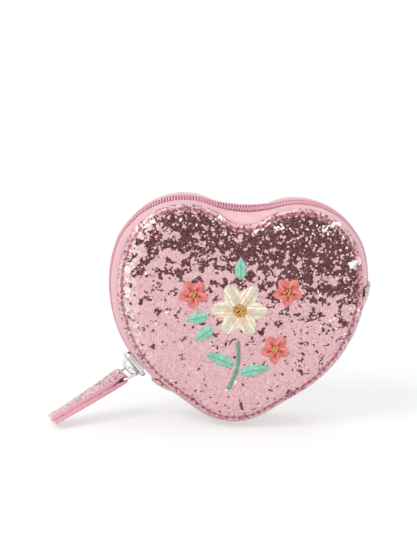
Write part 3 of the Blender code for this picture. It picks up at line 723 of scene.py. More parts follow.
def flakes_group():
    """Random flakes: a random colour for each, a tilted normal and the dark line round it."""
    def wire(group, given):
        where = {"Vector": given["Vector"], "Scale": maths(group, "DIVIDE", 1.0, given["Size"])}
        random = node(group, "TexVoronoi", where).outputs["Color"]
        edge = node(group, "TexVoronoi", where, feature="DISTANCE_TO_EDGE").outputs["Distance"]
        tilt = vector_maths(group, "SUBTRACT", {0: random, 1: (0.5, 0.5, 0.5)})
        tilt = vector_maths(group, "SCALE", {0: tilt, "Scale": given["Tilt"]})
        surface = node(group, "NewGeometry").outputs["Normal"]
        normal = vector_maths(group, "NORMALIZE", {0: vector_maths(group, "ADD", {0: tilt, 1: surface})})
        return {"Random": random, "Normal": normal, "Edge": edge}
    return shared_group("Flakes", {"Vector": "Vector", "Size": "Float", "Tilt": "Float"},
                        {"Random": "Color", "Normal": "Vector", "Edge": "Float"}, wire)


def grain_group():
    """Fine pebbled leather grain over soft broad variation."""
    def wire(group, given):
        scale = maths(group, "DIVIDE", 1.0, given["Size"])
        pebbles = node(group, "TexVoronoi", {"Vector": given["Vector"], "Scale": scale},
                       feature="SMOOTH_F1").outputs["Distance"]
        fine = clouds(group, given["Vector"], scale, detail=3.0)
        broad = clouds(group, given["Vector"], maths(group, "MULTIPLY", scale, 0.05), detail=2.0)
        return {"Height": maths(group, "MULTIPLY_ADD", pebbles, 0.7, fine), "Variation": broad}
    return shared_group("Leather grain", {"Vector": "Vector", "Size": "Float"},
                        {"Height": "Float", "Variation": "Float"}, wire)


def weave_group():
    """Plain weave of two crossing sets of yarns."""
    def wire(group, given):
        scale = maths(group, "DIVIDE", 1.0, given["Yarn"])
        where = {"Vector": given["Vector"], "Scale": scale, "Distortion": 0.6, "Detail Scale": 2.0}
        warp = node(group, "TexWave", where, bands_direction="X").outputs["Fac"]
        weft = node(group, "TexWave", where, bands_direction="Z").outputs["Fac"]
        return {"Height": maths(group, "MULTIPLY", warp, weft),
                "Shade": clouds(group, given["Vector"], scale, detail=1.0)}
    return shared_group("Weave", {"Vector": "Vector", "Yarn": "Float"},
                        {"Height": "Float", "Shade": "Float"}, wire)


def thread_group():
    """Satin stitch: ridges across the UV's U, streaked along its V."""
    def wire(group, given):
        split = node(group, "SeparateXYZ", {0: given["Vector"]}).outputs
        wobble = clouds(group, given["Vector"], 0.9, detail=2.0)
        turn = maths(group, "DIVIDE", split[0], given["Pitch"])
        phase = maths(group, "MULTIPLY_ADD", wobble, 1.1, turn)
        strand = maths(group, "FLOOR", phase)
        along = maths(group, "MULTIPLY", split[1], 0.45)
        streak = node(group, "CombineXYZ", {0: strand, 1: along}).outputs[0]
        soft = clouds(group, streak, 1.7, detail=0.0)
        whole = node(group, "TexWhiteNoise", {"W": strand}, noise_dimensions="1D").outputs["Value"]
        return {"Height": maths(group, "SQRT", maths(group, "PINGPONG", phase, 0.5)),
                "Shade": maths(group, "MULTIPLY_ADD", whole, 0.6, soft)}
    return shared_group("Satin thread", {"Vector": "Vector", "Pitch": "Float"},
                        {"Height": "Float", "Shade": "Float"}, wire)


# Finishes

def painted(paint):
    """Finish by its name, made at its first use; paint says what each of the shader's inputs gets."""
    @functools.wraps(paint)
    def finish(name, *values, **settings):
        made = bpy.data.materials.get(name)
        if made is None:
            made = bpy.data.materials.new(name)
            made.use_nodes = True
            tree = made.node_tree
            feed(tree, tree.nodes["Principled BSDF"], paint(tree, *values, **settings))
        return made
    return finish


def plum_crowd(tree, spot, place):
    """Share of plum flakes: clusters that crowd the lobes and thin downwards, sooner on the left."""
    rise = maths(tree, "MULTIPLY_ADD", place[0], PLUM_SLANT, place[2])
    high = node(tree, "MapRange", {0: rise, 1: 0.0, 2: PLUM_HEIGHT}, clamp=False).outputs[0]
    high = maths(tree, "POWER", maths(tree, "MAXIMUM", high, 0.0), PLUM_POWER)
    clusters = clouds(tree, spot, PLUM_CLUSTERS, detail=3.0, roughness=0.62)
    level = maths(tree, "MULTIPLY_ADD", high, PLUM_LEVEL_HIGH - PLUM_LEVEL_LOW, PLUM_LEVEL_LOW)
    over = maths(tree, "SUBTRACT", clusters, level)
    return smooth_range(tree, over, -0.015, 0.040, first=0.012, last=0.90)


def seam_chance(tree, inset, hole):
    """Chance that a flake near the stitching is a deeper one: the film's own deeper flakes along the
    stitching, with painted shade crowding them round the holes.
    """
    off = maths(tree, "SUBTRACT", inset, SEAM_INSET)
    line = maths(tree, "EXPONENT", product(tree, off, off, -0.7))
    # Painted shade: flakes round each stitch hole, where the leather dips, are far likelier to be deeper
    # ones.
    hole_shade = smooth_range(tree, hole, 0.4, 1.3, first=0.90, last=0.08)
    outer = smooth_range(tree, inset, 1.5, 4.5, first=0.16, last=0.0)
    return maths(tree, "ADD", maths(tree, "MULTIPLY", line, hole_shade), outer)


def edge_painted_glints(tree, spot, place, inset, least):
    """Chance of a painted glint: white flakes painted in drifts on the rolled edge of both lobes, where
    it catches the light.
    """
    edge = smooth_range(tree, inset, 3.0, 9.5, first=1.0, last=0.0)
    high = smooth_range(tree, place[2], 0.040, 0.066)
    drift = smooth_range(tree, clouds(tree, spot, 150.0, detail=2.0), 0.57, 0.66)
    return maths(tree, "MULTIPLY_ADD", product(tree, edge, high, drift), 0.75, least)


def painted_sheen_share(tree, spot, place, inset):
    """Painted sheen: pale streaks painted on the left part of the rolled edge, where the light from the
    left falls on it.
    """
    streaks = smooth_range(tree, clouds(tree, spot, 420.0, detail=3.0), 0.42, 0.62, first=0.0, last=0.75)
    left = smooth_range(tree, maths(tree, "MULTIPLY", place[0], -1.0), 0.012, 0.045)
    inner = smooth_range(tree, inset, 4.0, 11.0, first=1.0, last=0.0)
    outer = smooth_range(tree, inset, 2.4, 3.6, first=0.25, last=1.0)
    return product(tree, streaks, left, inner, outer)


@painted
def glitter_finish(tree, of_panel=False, plum_least=0.022, painted_glint_least=0.004):
    """Glitter film: pink flakes, clusters of plum ones, white flakes painted as highlights and, on a
    panel, a deeper seam and a painted sheen.
    """
    colours = bpy.context.scene.purse_colours
    spot = object_spot(tree)
    coarse = grouped(tree, flakes_group(), {"Vector": spot, "Size": COARSE_FLAKE, "Tilt": 0.60})
    fine = grouped(tree, flakes_group(), {"Vector": spot, "Size": FINE_FLAKE, "Tilt": 0.35})
    chance = node(tree, "SeparateColor", {0: coarse["Random"]}).outputs
    shade = node(tree, "SeparateColor", {0: fine["Random"]}).outputs
    place = node(tree, "SeparateXYZ", {0: spot}).outputs

    base = toned(tree, ranged(tree, shade[0], 0.82, 1.17), colours.glitter)
    blush = product(tree, maths(tree, "GREATER_THAN", chance[1], 0.82), 0.26)
    base = blend_colour(tree, blush, base, colours.rose)
    crowd = plum_crowd(tree, spot, place)
    painted_glints = painted_glint_least
    if of_panel:
        inset = node(tree, "Attribute", attribute_name="inset").outputs["Fac"]
        hole = node(tree, "Attribute", attribute_name="hole").outputs["Fac"]
        crowd = product(tree, crowd, smooth_range(tree, inset, 1.6, 4.2, first=0.10, last=1.0))
        # The film's deeper flakes along the seam, with painted shade round the stitch holes.
        deep_and_hole_shade = maths(tree, "LESS_THAN", chance[1], seam_chance(tree, inset, hole))
        line = blend_colour(tree, product(tree, chance[0], 0.75), colours.rose, colours.plum)
        base = blend_colour(tree, product(tree, deep_and_hole_shade, 0.85), base, line)
        # Painted sheen: the left part of the rolled edge is blended towards the pale highlight colour.
        base = blend_colour(tree, painted_sheen_share(tree, spot, place, inset), base, colours.painted_highlight)
        painted_glints = edge_painted_glints(tree, spot, place, inset, painted_glint_least)
    else:
        crowd = product(tree, crowd, 0.45)
    dark = maths(tree, "LESS_THAN", chance[0], maths(tree, "MAXIMUM", crowd, plum_least))
    plum = blend_colour(tree, maths(tree, "POWER", shade[1], 2.2), colours.plum, colours.mauve)
    base = blend_colour(tree, dark, base, plum)
    # Painted highlight: flakes picked by chance take the white highlight colour, standing in for
    # sparkle.
    base = blend_colour(tree, maths(tree, "LESS_THAN", chance[2], painted_glints), base, colours.painted_highlight)
    lines = ranged(tree, coarse["Edge"], 0.0, 1.0, high=0.12)
    return {"Base Color": base, "Roughness": ranged(tree, shade[2], 0.22, 0.50),
            "Metallic": maths(tree, "MULTIPLY_ADD", chance[1], 0.25, 0.15),
            "Coat Weight": maths(tree, "MULTIPLY_ADD", dark, -0.45, 0.50), "Coat Roughness": 0.30,
            "Specular IOR Level": 0.25,
            "Normal": bump(tree, lines, strength=0.35, distance=0.00008, normal=coarse["Normal"])}


@painted
def leather_finish(tree, tint, size=0.00035, roughness=0.46, coat=0.08):
    """Smooth leatherette with a fine grain and a soft change of tone."""
    grain = grouped(tree, grain_group(), {"Vector": object_spot(tree), "Size": size})
    tone = ranged(tree, grain["Variation"], 0.94, 1.05, low=0.3, high=0.7)
    pores = ranged(tree, grain["Height"], 0.90, 1.05, low=0.4, high=1.0)
    rough = ranged(tree, grain["Height"], roughness + 0.08, roughness - 0.08, low=0.3, high=1.1)
    return {"Base Color": toned(tree, product(tree, tone, pores), tint), "Roughness": rough,
            "Normal": bump(tree, grain["Height"], strength=0.45, distance=0.00007),
            "Coat Weight": coat, "Coat Roughness": 0.3}


@painted
def cloth_finish(tree, tint, yarn, sheen, roughness):
    """Woven cloth for the tape and the lining."""
    weave = grouped(tree, weave_group(), {"Vector": object_spot(tree), "Yarn": yarn})
    return {"Base Color": toned(tree, ranged(tree, weave["Height"], 0.84, 1.06), tint),
            "Roughness": ranged(tree, weave["Shade"], roughness - 0.1, roughness + 0.1),
            "Normal": bump(tree, weave["Height"], strength=0.5, distance=0.0001),
            "Sheen Weight": sheen}


@painted
def nylon_finish(tree, tint):
    """Nylon of the coil, slightly uneven along its length."""
    grain = grouped(tree, grain_group(), {"Vector": object_spot(tree), "Size": 0.0009})
    tone = ranged(tree, grain["Height"], 0.88, 1.12, low=0.3, high=1.2)
    return {"Base Color": toned(tree, tone, tint),
            "Roughness": ranged(tree, grain["Variation"], 0.28, 0.42), "Coat Weight": 0.3}


@painted
def thread_finish(tree, tint, pitch):
    """Satin-stitch thread that follows the piece's own UV."""
    spot = node(tree, "UVMap", uv_map="UVMap").outputs[0]
    thread = grouped(tree, thread_group(), {"Vector": spot, "Pitch": pitch})
    tone = ranged(tree, thread["Shade"], 0.60, 1.15, low=0.3, high=1.2)
    return {"Base Color": toned(tree, tone, tint),
            "Roughness": ranged(tree, thread["Shade"], 0.38, 0.6),
            "Normal": bump(tree, thread["Height"], strength=0.8, distance=0.00020),
            "Sheen Weight": 0.25}


@painted
def nickel_finish(tree, tint):
    """Plated metal with fine scuffs that roughen it, with painted shade on its under and back sides."""
    spot = object_spot(tree)
    scuffs = node(tree, "Mapping", {"Vector": spot, "Scale": SCUFF_SCALE}).outputs[0]
    scratch = clouds(tree, scuffs, 1.0, detail=4.0)
    haze = clouds(tree, spot, 420.0, detail=2.0)
    rough = maths(tree, "MULTIPLY_ADD", haze, 0.10, maths(tree, "MULTIPLY_ADD", scratch, 0.16, 0.10))
    surface = node(tree, "NewGeometry").outputs["Normal"]
    painted_light_facing = node(tree, "VectorMath", {0: surface, 1: PAINTED_LIGHT_SIDE}, operation="DOT_PRODUCT")
    painted_light_facing = painted_light_facing.outputs["Value"]
    tone = ranged(tree, haze, 0.90, 1.06, low=0.3, high=0.7)
    # Painted shade and light: faces turned from the given side are darkened, faces towards it kept
    # bright.
    tone = product(tree, tone, smooth_range(tree, painted_light_facing, -0.60, 0.70, first=0.34, last=0.98))
    return {"Base Color": toned(tree, tone, tint), "Roughness": rough, "Metallic": 1.0,
            "Normal": bump(tree, scratch, strength=0.12, distance=0.00004)}


# Leather body

def panel_skin(body, side):
    """Padded heart: its flat inner face, its rolled edge, the pulled-in stitch line and its crown."""
    columns = body.stitches * COLUMNS_PER_STITCH
    line = body.stitch_line
    places = line.places(columns)
    insets = [body.shape.panel_roll * (ring / EDGE_RINGS) ** EDGE_CROWDING
              for ring in range(EDGE_RINGS + 1)]
    outlines = [Outline(body.shape, -inset) for inset in insets]
    inner = Outline(body.shape, -body.shape.leather_thickness)
    back_rows = 2
    rows = back_rows + EDGE_RINGS + CENTRE_RINGS

    def place(column, row):
        spot = places[column % columns]
        if row < back_rows:
            return at_depth(inner.at(spot) if row else panel_middle, side * seam_depth)
        ring = min(row - back_rows, EDGE_RINGS)
        point = outlines[ring].at(spot)
        if row > back_rows + EDGE_RINGS:
            point = point.lerp(panel_middle, (row - back_rows - EDGE_RINGS) / CENTRE_RINGS)
        depth = body.panel(insets[ring], point.x, point.y, column / COLUMNS_PER_STITCH)
        return at_depth(point, side * (depth if ring else seam_depth))

    bm = mapped_grid(columns, rows, place)
    rim = Outline(body.shape)
    edge_points = [rim.at(spot) for spot in places[::COLUMNS_PER_STITCH]]
    holes = [line.at(spot) for spot in places[::COLUMNS_PER_STITCH]]
    for name, points in (("inset", edge_points), ("hole", holes)):
        layer = bm.verts.layers.float.new(name)
        for vert in bm.verts:
            flat = Vector((vert.co.x, vert.co.z))
            nearest = min((flat - point).length for point in points)
            vert[layer] = min(nearest, body.shape.panel_roll) / MILLIMETRE
    return close(bm)


def band(body, span, depths, thickness, drop=0.0, puff=0.0, hem=0.0, waves=0.0):
    """Closed strip that follows the side wall, with rounded edges, a puffed face and folded ends."""
    start, end = span
    first, last = depths
    columns = max(4, round((end - start) / BAND_SPACING))
    steps = max(3, round((last - first) / BAND_FACE_WIDTH))
    nose = thickness / 2

    def across(share):
        return first + nose + (last - first - 2 * nose) * share

    profile = [(across(index / steps), puff * math.sin(math.pi * index / steps))
               for index in range(steps + 1)]
    profile.append((last, -nose))
    profile += [(across(1 - index / steps), -thickness) for index in range(steps + 1)]
    profile.append((first, -nose))

    def place(column, row):
        along = start + (end - start) * column / columns
        depth, lift = profile[row % len(profile)]
        from_end = min(along - start, end - along)
        lift += hem * max(0.0, 1 - (from_end / body.shape.hem_run) ** 2)
        if waves:
            spot = body.wall(along, depth) / body.shape.wave_size
            lift += waves * noise.noise(spot) * min(1.0, from_end / BAND_SPACING)
        return body.over_wall(along, depth, lift - drop)

    return close(mapped_grid(columns, len(profile), place))


def cut_size(outline):
    """Width, height and area of a flat cut inside an outline."""
    line = [outline.at(place) for place in outline.places(LINING_COLUMNS)]
    wide = [point.x for point in line]
    high = [point.y for point in line]
    area = abs(sum(line[index - 1].cross(line[index]) for index in range(LINING_COLUMNS))) / 2
    return max(wide) - min(wide), max(high) - min(high), area


def heart_sheet(body, outline, side):
    """Lining heart with soft gathers that fade towards its middle."""
    places = outline.places(LINING_COLUMNS)
    rows = 2 * LINING_RINGS + 1

    def place(column, row):
        spot = places[column % LINING_COLUMNS]
        outer = row <= LINING_RINGS
        share = row / LINING_RINGS if outer else (rows - row) / LINING_RINGS
        share = share ** LINING_CROWDING
        point = panel_middle.lerp(outline.at(spot), share)
        drift = GATHER_DRIFT * noise.noise(Vector((spot, 0, 0)))
        fold = GATHER_HEIGHT * math.sin(2 * math.pi * GATHERS * column / LINING_COLUMNS + drift)
        fold *= max(0.0, GATHER_STEEPNESS * (share - GATHER_START)) if share < 0.999 else 0.0
        swell = LINING_SWELL * noise.noise(Vector((point.x, 0, point.y)) / LINING_SWELL_SIZE)
        reach = lining_depth - (body.shape.lining_thickness if outer else 0.0)
        return at_depth(point, side * (reach + fold - abs(swell)))

    return close(mapped_grid(LINING_COLUMNS, rows, place))


def stitch_row(body, side):
    """Topstitching round a panel, each stitch lying in its groove."""
    bm = bmesh.new()
    line = body.stitch_line
    pitch = line.total / body.stitches
    thread = body.sewing.thread
    size = (pitch * body.sewing.stitch_cover / 2, thread / 2, thread * STITCH_RISE)
    for index in range(body.stitches):
        before, point, after = (line.at(line.place_at((index + share) * pitch))
                                for share in (0.25, 0.5, 0.75))
        depth = body.panel(body.sewing.stitch_inset, point.x, point.y, 0.5)
        run = Vector((after.x - before.x, 0.0, after.y - before.y))
        stitch(bm, frame_matrix(at_depth(point, side * depth), run, TO_BACK * side), size, rings=8)
    return bm


def coil_row(body, side, span):
    """One row of the zip: a flattened helix of filament along the crest."""
    start, end = span
    sewing = body.sewing
    turns = int((end - start) / sewing.coil_pitch)
    wire = sewing.coil_wire / 2
    half_width = (sewing.coil_outer - sewing.coil_inner) / 2 - wire
    middle_depth = (sewing.coil_outer + sewing.coil_inner) / 2
    high = sewing.coil_rise - wire
    low = -sewing.tape_drop + wire
    half_turn_on = 0.5 if side > 0 else 0.0
    points = []
    for index in range(turns * COIL_STEPS + 1):
        share = index / COIL_STEPS + half_turn_on
        turn = 2 * math.pi * share
        along = start + share * sewing.coil_pitch - sewing.coil_slant * math.cos(turn)
        depth = side * (middle_depth - half_width * math.cos(turn))
        lift = (high + low) / 2 + (high - low) / 2 * math.sin(turn)
        points.append(body.over_wall(along, depth, lift))
    return wire_mesh(points, wire, resolution=1)


def wire_mesh(points, radius, resolution, looped=False):
    """Round wire through points, as a closed mesh."""
    curve = bpy.data.curves.new("wire", "CURVE")
    curve.dimensions = "3D"
    curve.bevel_depth = radius
    curve.bevel_resolution = resolution
    curve.use_fill_caps = not looped
    spline = curve.splines.new("POLY")
    spline.points.add(len(points) - 1)
    for spot, point in zip(spline.points, points):
        spot.co = (*point, 1.0)
    spline.use_cyclic_u = looped
    carrier = bpy.data.objects.new("wire", curve)
    bpy.context.scene.collection.objects.link(carrier)
    bpy.context.view_layer.update()
    shown = carrier.evaluated_get(bpy.context.evaluated_depsgraph_get())
    mesh = bpy.data.meshes.new_from_object(shown)
    bm = bmesh.new()
    bm.from_mesh(mesh)
    bpy.data.objects.remove(carrier)
    bpy.data.curves.remove(curve)
    bpy.data.meshes.remove(mesh)
    return close(bm)


def satin_lining():
    """Finish that all linings share."""
    colours = bpy.context.scene.purse_colours
    return cloth_finish("Satin lining", colours.lining, yarn=0.0004, sheen=0.4, roughness=0.5)


class PURSE_OT_panels(bpy.types.Operator):
    """Both padded glitter hearts"""
    bl_idname = "purse.panels"
    bl_label = "Padded panels"

    def execute(self, context):
        body = PurseBody()
        finish = glitter_finish("Glitter panel", of_panel=True)
        for half, side in HALVES:
            skin = add_piece(half + "_padded_panel", panel_skin(body, side), [finish])
            seat(skin, half + "_case", "glitter", half + "_panel", half + "_padding")
        return {"FINISHED"}


class PURSE_OT_side_strips(bpy.types.Operator):
    """Smooth strips between the panels and the zip"""
    bl_idname = "purse.side_strips"
    bl_label = "Side strips"

    def execute(self, context):
        body = PurseBody()
        shape = body.shape
        finish = leather_finish("Smooth leatherette", context.scene.purse_colours.leather)
        for half, side in HALVES:
            depths = sorted((side * strip_edge, side * (seam_depth - SLOPE_STEP)))
            strip = band(body, body.zip_span, depths, shape.leather_thickness, puff=shape.strip_puff,
                         waves=STRIP_WAVES)
            piece = add_piece(half + "_side_strip", strip, [finish])
            seat(piece, half + "_case", "strip", half + "_zip_strip")
        return {"FINISHED"}


class PURSE_OT_gusset(bpy.types.Operator):
    """Glitter band round the point of the heart, with its lining"""
    bl_idname = "purse.gusset"
    bl_label = "Gusset"

    def execute(self, context):
        body = PurseBody()
        shape = body.shape
        span = (body.zip_end - body.crest.total, body.zip_start)
        outer = band(body, span, (-seam_depth + SLOPE_STEP, seam_depth - SLOPE_STEP),
                     shape.gusset_thickness, drop=shape.gusset_drop, puff=shape.gusset_puff,
                     hem=shape.hem_rise, waves=GUSSET_WAVES)
        piece = add_piece("glitter_gusset", outer, [glitter_finish("Glitter band", plum_least=0.09)])
        bridge_halves(piece, "glitter", "bottom_gusset")
        inner = band(body, span, (-lining_depth + EDGE_GAP, lining_depth - EDGE_GAP),
                     shape.lining_thickness, drop=shape.gusset_lining_drop, waves=GUSSET_LINING_WAVES)
        lining = add_piece("gusset_satin", inner, [satin_lining()])
        bridge_halves(lining, "lining", "gusset_lining")
        return {"FINISHED"}


class PURSE_OT_lining(bpy.types.Operator):
    """Satin lining of both halves and under both strips"""
    bl_idname = "purse.lining"
    bl_label = "Lining"

    def execute(self, context):
        body = PurseBody()
        outline = Outline(body.shape, -LINING_INSET)
        width, height, area = cut_size(outline)
        for half, side in HALVES:
            piece = add_piece(half + "_satin", heart_sheet(body, outline, side), [satin_lining()])
            seat(piece, half + "_case", "lining", half + "_lining")
            depths = sorted((side * (tape_edge + EDGE_GAP), side * (lining_depth - EDGE_GAP)))
            under = band(body, body.zip_span, depths, body.shape.lining_thickness,
                         drop=body.sewing.tape_drop, waves=STRIP_LINING_WAVES)
            piece = add_piece(half + "_strip_satin", under, [satin_lining()])
            seat(piece, half + "_case", "lining", half + "_strip_lining")
        return {"FINISHED"}


class PURSE_OT_topstitching(bpy.types.Operator):
    """Pink topstitching round both panels"""
    bl_idname = "purse.topstitching"
    bl_label = "Topstitching"

    def execute(self, context):
        body = PurseBody()
        colours = context.scene.purse_colours
        finish = leather_finish("Sewing thread", colours.thread, size=0.0003, roughness=0.5)
        for half, side in HALVES:
            piece = add_piece(half + "_topstitching", stitch_row(body, side), [finish])
            seat(piece, half + "_case", "strip")
        return {"FINISHED"}


class PURSE_OT_zip(bpy.types.Operator):
    """Woven tapes and both rows of the nylon coil"""
    bl_idname = "purse.zip"
    bl_label = "Zip"

    def execute(self, context):
        body = PurseBody()
        sewing = body.sewing
        colours = context.scene.purse_colours
        tape_finish = cloth_finish("Zip tape", colours.tape, yarn=0.00055, sheen=0.3, roughness=0.8)
        coil_finish = nylon_finish("Nylon coil", colours.coil)
        parked = body.crest.total - body.crest.at_flank(context.scene.purse_hardware.slider_angle)
        for half, side in HALVES:
            depths = sorted((side * sewing.tape_inner, side * tape_edge))
            tape = band(body, body.zip_span, depths, sewing.tape_thickness, drop=sewing.tape_drop)
            piece = add_piece(half + "_woven_tape", tape, [tape_finish])
            seat(piece, half + "_case", "tape", half + "_zip_tape")
            coil = coil_row(body, side, (body.zip_start + sewing.coil_start, parked))
            piece = add_piece(half + "_coil", coil, [coil_finish])
            seat(piece, half + "_case", "teeth", half + "_zip_teeth")
        return {"FINISHED"}


# Hardware

def slider_matrix(body):
    """X up along the zip, Y the depth, Z outwards, at the crest under the parked slider."""
    turn = bpy.context.scene.purse_hardware.slider_angle
    outward = Vector((-math.cos(turn), 0.0, math.sin(turn)))
    centre = Vector((axis_x - body.crest.flank_centre.x, middle_y, body.crest.flank_centre.y))
    matrix = Matrix((TO_BACK.cross(outward), TO_BACK, outward)).transposed().to_4x4()
    return Matrix.Translation(centre + outward * body.crest.flank_radius) @ matrix


def swing_matrix(node_name, joint_name):
    """X from a joint through the middle of the piece it swings, Y along the joint's axis."""
    joint = joints[joint_name]
    pivot = Vector(joint["pos_m"])
    side = -Vector(joint["axis"]).normalized()
    middle = middle_of(node_name) - pivot
    along = (middle - side * middle.dot(side)).normalized()
    matrix = Matrix((along, side, along.cross(side))).transposed().to_4x4()
    return Matrix.Translation(pivot) @ matrix


def lean_matrix(hardware):
    """Turn about the zip's run, level with the upper plate's underside."""
    pivot = Matrix.Translation((0.0, 0.0, hardware.top_gap))
    return pivot @ Matrix.Rotation(hardware.slider_lean, 4, "X") @ pivot.inverted()


def block(place):
    """Cube whose corners, half a unit from its middle, are put where place(x, y, z) says."""
    bm = bmesh.new()
    bmesh.ops.create_cube(bm, size=1)
    for vert in bm.verts:
        vert.co = place(*vert.co)
    return bm


def bevelled(bm, edges, offset, segments):
    """Round some edges."""
    bmesh.ops.bevel(bm, geom=edges, offset=offset, segments=segments, profile=0.5, affect="EDGES",
                    material=-1)


def plate(low, high, width, hardware, crown):
    """Slider plate with rounded corners, a narrowed tail and a crowned upper face."""
    def place(x, y, z):
        taper = 1 - (1 - hardware.taper) * (0.5 - x)
        return Vector((x * hardware.slider_length, y * width * taper, low + (high - low) * (z + 0.5)))

    bm = block(place)
    upright = [edge for edge in bm.edges
               if abs(edge.verts[0].co.z - edge.verts[1].co.z) > (high - low) / 2]
    bevelled(bm, upright, hardware.plate_corner, segments=8)
    for way, rounding in ((1, crown), (-1, hardware.plate_edge)):
        flats = [face for face in bm.faces if face.normal.z * way > FLAT_FACING]
        bevelled(bm, list({edge for face in flats for edge in face.edges}), rounding, segments=5)
    return bm


def skirt(side, hardware):
    """Side wall that closes the slider between its leaning upper plate and a strip."""
    thickness = hardware.skirt_thickness
    outer = hardware.top_width / 2 - hardware.plate_edge

    def place(x, y, z):
        depth = side * (outer - thickness * (0.5 - side * y))
        high = hardware.top_gap + hardware.top_plate / 2 + depth * math.sin(hardware.slider_lean)
        return Vector((hardware.skirt_offset + x * hardware.skirt_length, depth,
                       high if z > 0 else hardware.skirt_low))

    bm = block(place)
    bevelled(bm, bm.edges[:], thickness / 4, segments=2)
    return bm


def post_block(low, high, hardware):
    """Upright between the plates that parts the two rows."""
    def place(x, y, z):
        return Vector((hardware.post_offset + x * hardware.post_length, y * hardware.post_width,
                       low + (high - low) * (z + 0.5)))

    return block(place)


def arch_mesh(foot, middle_rise, hardware):
    """Arch over the upper plate, square-shouldered and of one width."""
    power = hardware.bridge_squareness
    reach = (hardware.bridge_length - hardware.bridge_thickness) / 2
    points = []
    for index in range(ARCH_STEPS + 1):
        turn = math.pi * index / ARCH_STEPS
        along = math.copysign(abs(math.cos(turn)) ** power, math.cos(turn)) * reach
        points.append(Vector((along, 0.0, foot + abs(math.sin(turn)) ** power * middle_rise)))
    path = [(point, outwards(points, index), TO_BACK, hardware.bridge_thickness)
            for index, point in enumerate(points)]
    return bar(path, strap_profile(hardware.bridge_width, hardware.bridge_edge, count=3))


def join_meshes(parts):
    """One bmesh that holds several."""
    whole = bmesh.new()
    for part in parts:
        mesh = bpy.data.meshes.new("part")
        part.to_mesh(mesh)
        part.free()
        whole.from_mesh(mesh)
        bpy.data.meshes.remove(mesh)
    return whole


class PURSE_OT_slider(bpy.types.Operator):
    """Slider with its two plates, its post, its skirts and the bridge that holds the ring"""
    bl_idname = "purse.slider"
    bl_label = "Slider"

    def execute(self, context):
        hardware = context.scene.purse_hardware
        matrix = slider_matrix(PurseBody())
        lean = lean_matrix(hardware)
        finish = nickel_finish("Nickel plate", context.scene.purse_colours.nickel)
        top = hardware.top_gap + hardware.top_plate
        bottom = -hardware.bottom_gap - hardware.bottom_plate
        upper = plate(hardware.top_gap, top, hardware.top_width, hardware, hardware.plate_crown)
        bmesh.ops.transform(upper, matrix=lean, verts=upper.verts)
        lower = plate(bottom, -hardware.bottom_gap, hardware.bottom_width, hardware, hardware.plate_edge)
        post = post_block(bottom + hardware.bottom_plate / 2, top - hardware.top_plate / 2, hardware)
        whole = join_meshes([upper, lower, post, skirt(-1, hardware), skirt(1, hardware)])
        bmesh.ops.recalc_face_normals(whole, faces=whole.faces)
        bmesh.ops.transform(whole, matrix=matrix, verts=whole.verts)
        piece = add_piece("nickel_slider", whole, [finish], sharp=40)
        seat(piece, "slider", "nickel", "slider_body")

        inverse = matrix.inverted()
        packed_top = max((inverse @ spot).z for spot in corners_of("slider_bridge"))
        arch = arch_mesh(top + BRIDGE_GAP, packed_top - top - hardware.bridge_thickness / 2, hardware)
        bmesh.ops.transform(arch, matrix=matrix @ lean, verts=arch.verts)
        piece = add_piece("nickel_bridge", arch, [finish], sharp=50)
        seat(piece, "slider", "nickel", "slider_bridge")
        return {"FINISHED"}


class PURSE_OT_ring(bpy.types.Operator):
    """Wire ring between the bridge and the pull"""
    bl_idname = "purse.ring"
    bl_label = "Pull ring"

    def execute(self, context):
        hardware = context.scene.purse_hardware
        matrix = swing_matrix("pull_ring", "ring_swing")
        inverse = matrix.inverted()
        spots = [inverse @ spot for spot in corners_of("pull_ring")]
        wire = hardware.ring_wire / 2
        far = max(spot.x for spot in spots) - wire
        side = max(spot.y for spot in spots) - wire
        corner = hardware.ring_corner
        points = []
        for quarter, (x, y) in enumerate([(far - corner, side - corner), (corner, side - corner),
                                          (corner, corner - side), (far - corner, corner - side)]):
            for index in range(CORNER_STEPS + 1):
                turn = math.pi / 2 * (quarter + index / CORNER_STEPS)
                points.append(matrix @ Vector((x + corner * math.cos(turn),
                                               y + corner * math.sin(turn), 0.0)))
        finish = nickel_finish("Nickel plate", context.scene.purse_colours.nickel)
        ring = wire_mesh(points, wire, resolution=5, looped=True)
        piece = add_piece("nickel_ring", ring, [finish])
        seat(piece, "pull_ring", "nickel", "pull_ring")
        return {"FINISHED"}


def folded_line(hardware):
    """Middle line of the folded strap from tip to tip round the ring's bar: (x, z, thickness)."""
    layer = (hardware.pull_thickness - hardware.layer_gap) / 2
    flat = hardware.layer_gap / 2 + layer / 2
    fold = hardware.ring_wire / 2 + hardware.ring_clearance + hardware.fold_thickness / 2
    half = []
    for index in range(STRAP_STEPS):
        along = hardware.open_length - hardware.pull_length
        half.append((hardware.pull_length + along * index / STRAP_STEPS, -flat, layer))
    for index in range(OPENING_STEPS):
        share = index / OPENING_STEPS
        half.append((hardware.open_length * (1 - share), -flat - (fold - flat) * eased(share),
                     layer + (hardware.fold_thickness - layer) * eased(share)))
    for index in range(FOLD_STEPS + 1):
        turn = math.pi / 2 * (1 + index / FOLD_STEPS)
        half.append((fold * math.cos(turn), -fold * math.sin(turn), hardware.fold_thickness))
    return half + [(x, -z, thickness) for x, z, thickness in reversed(half[:-1])]


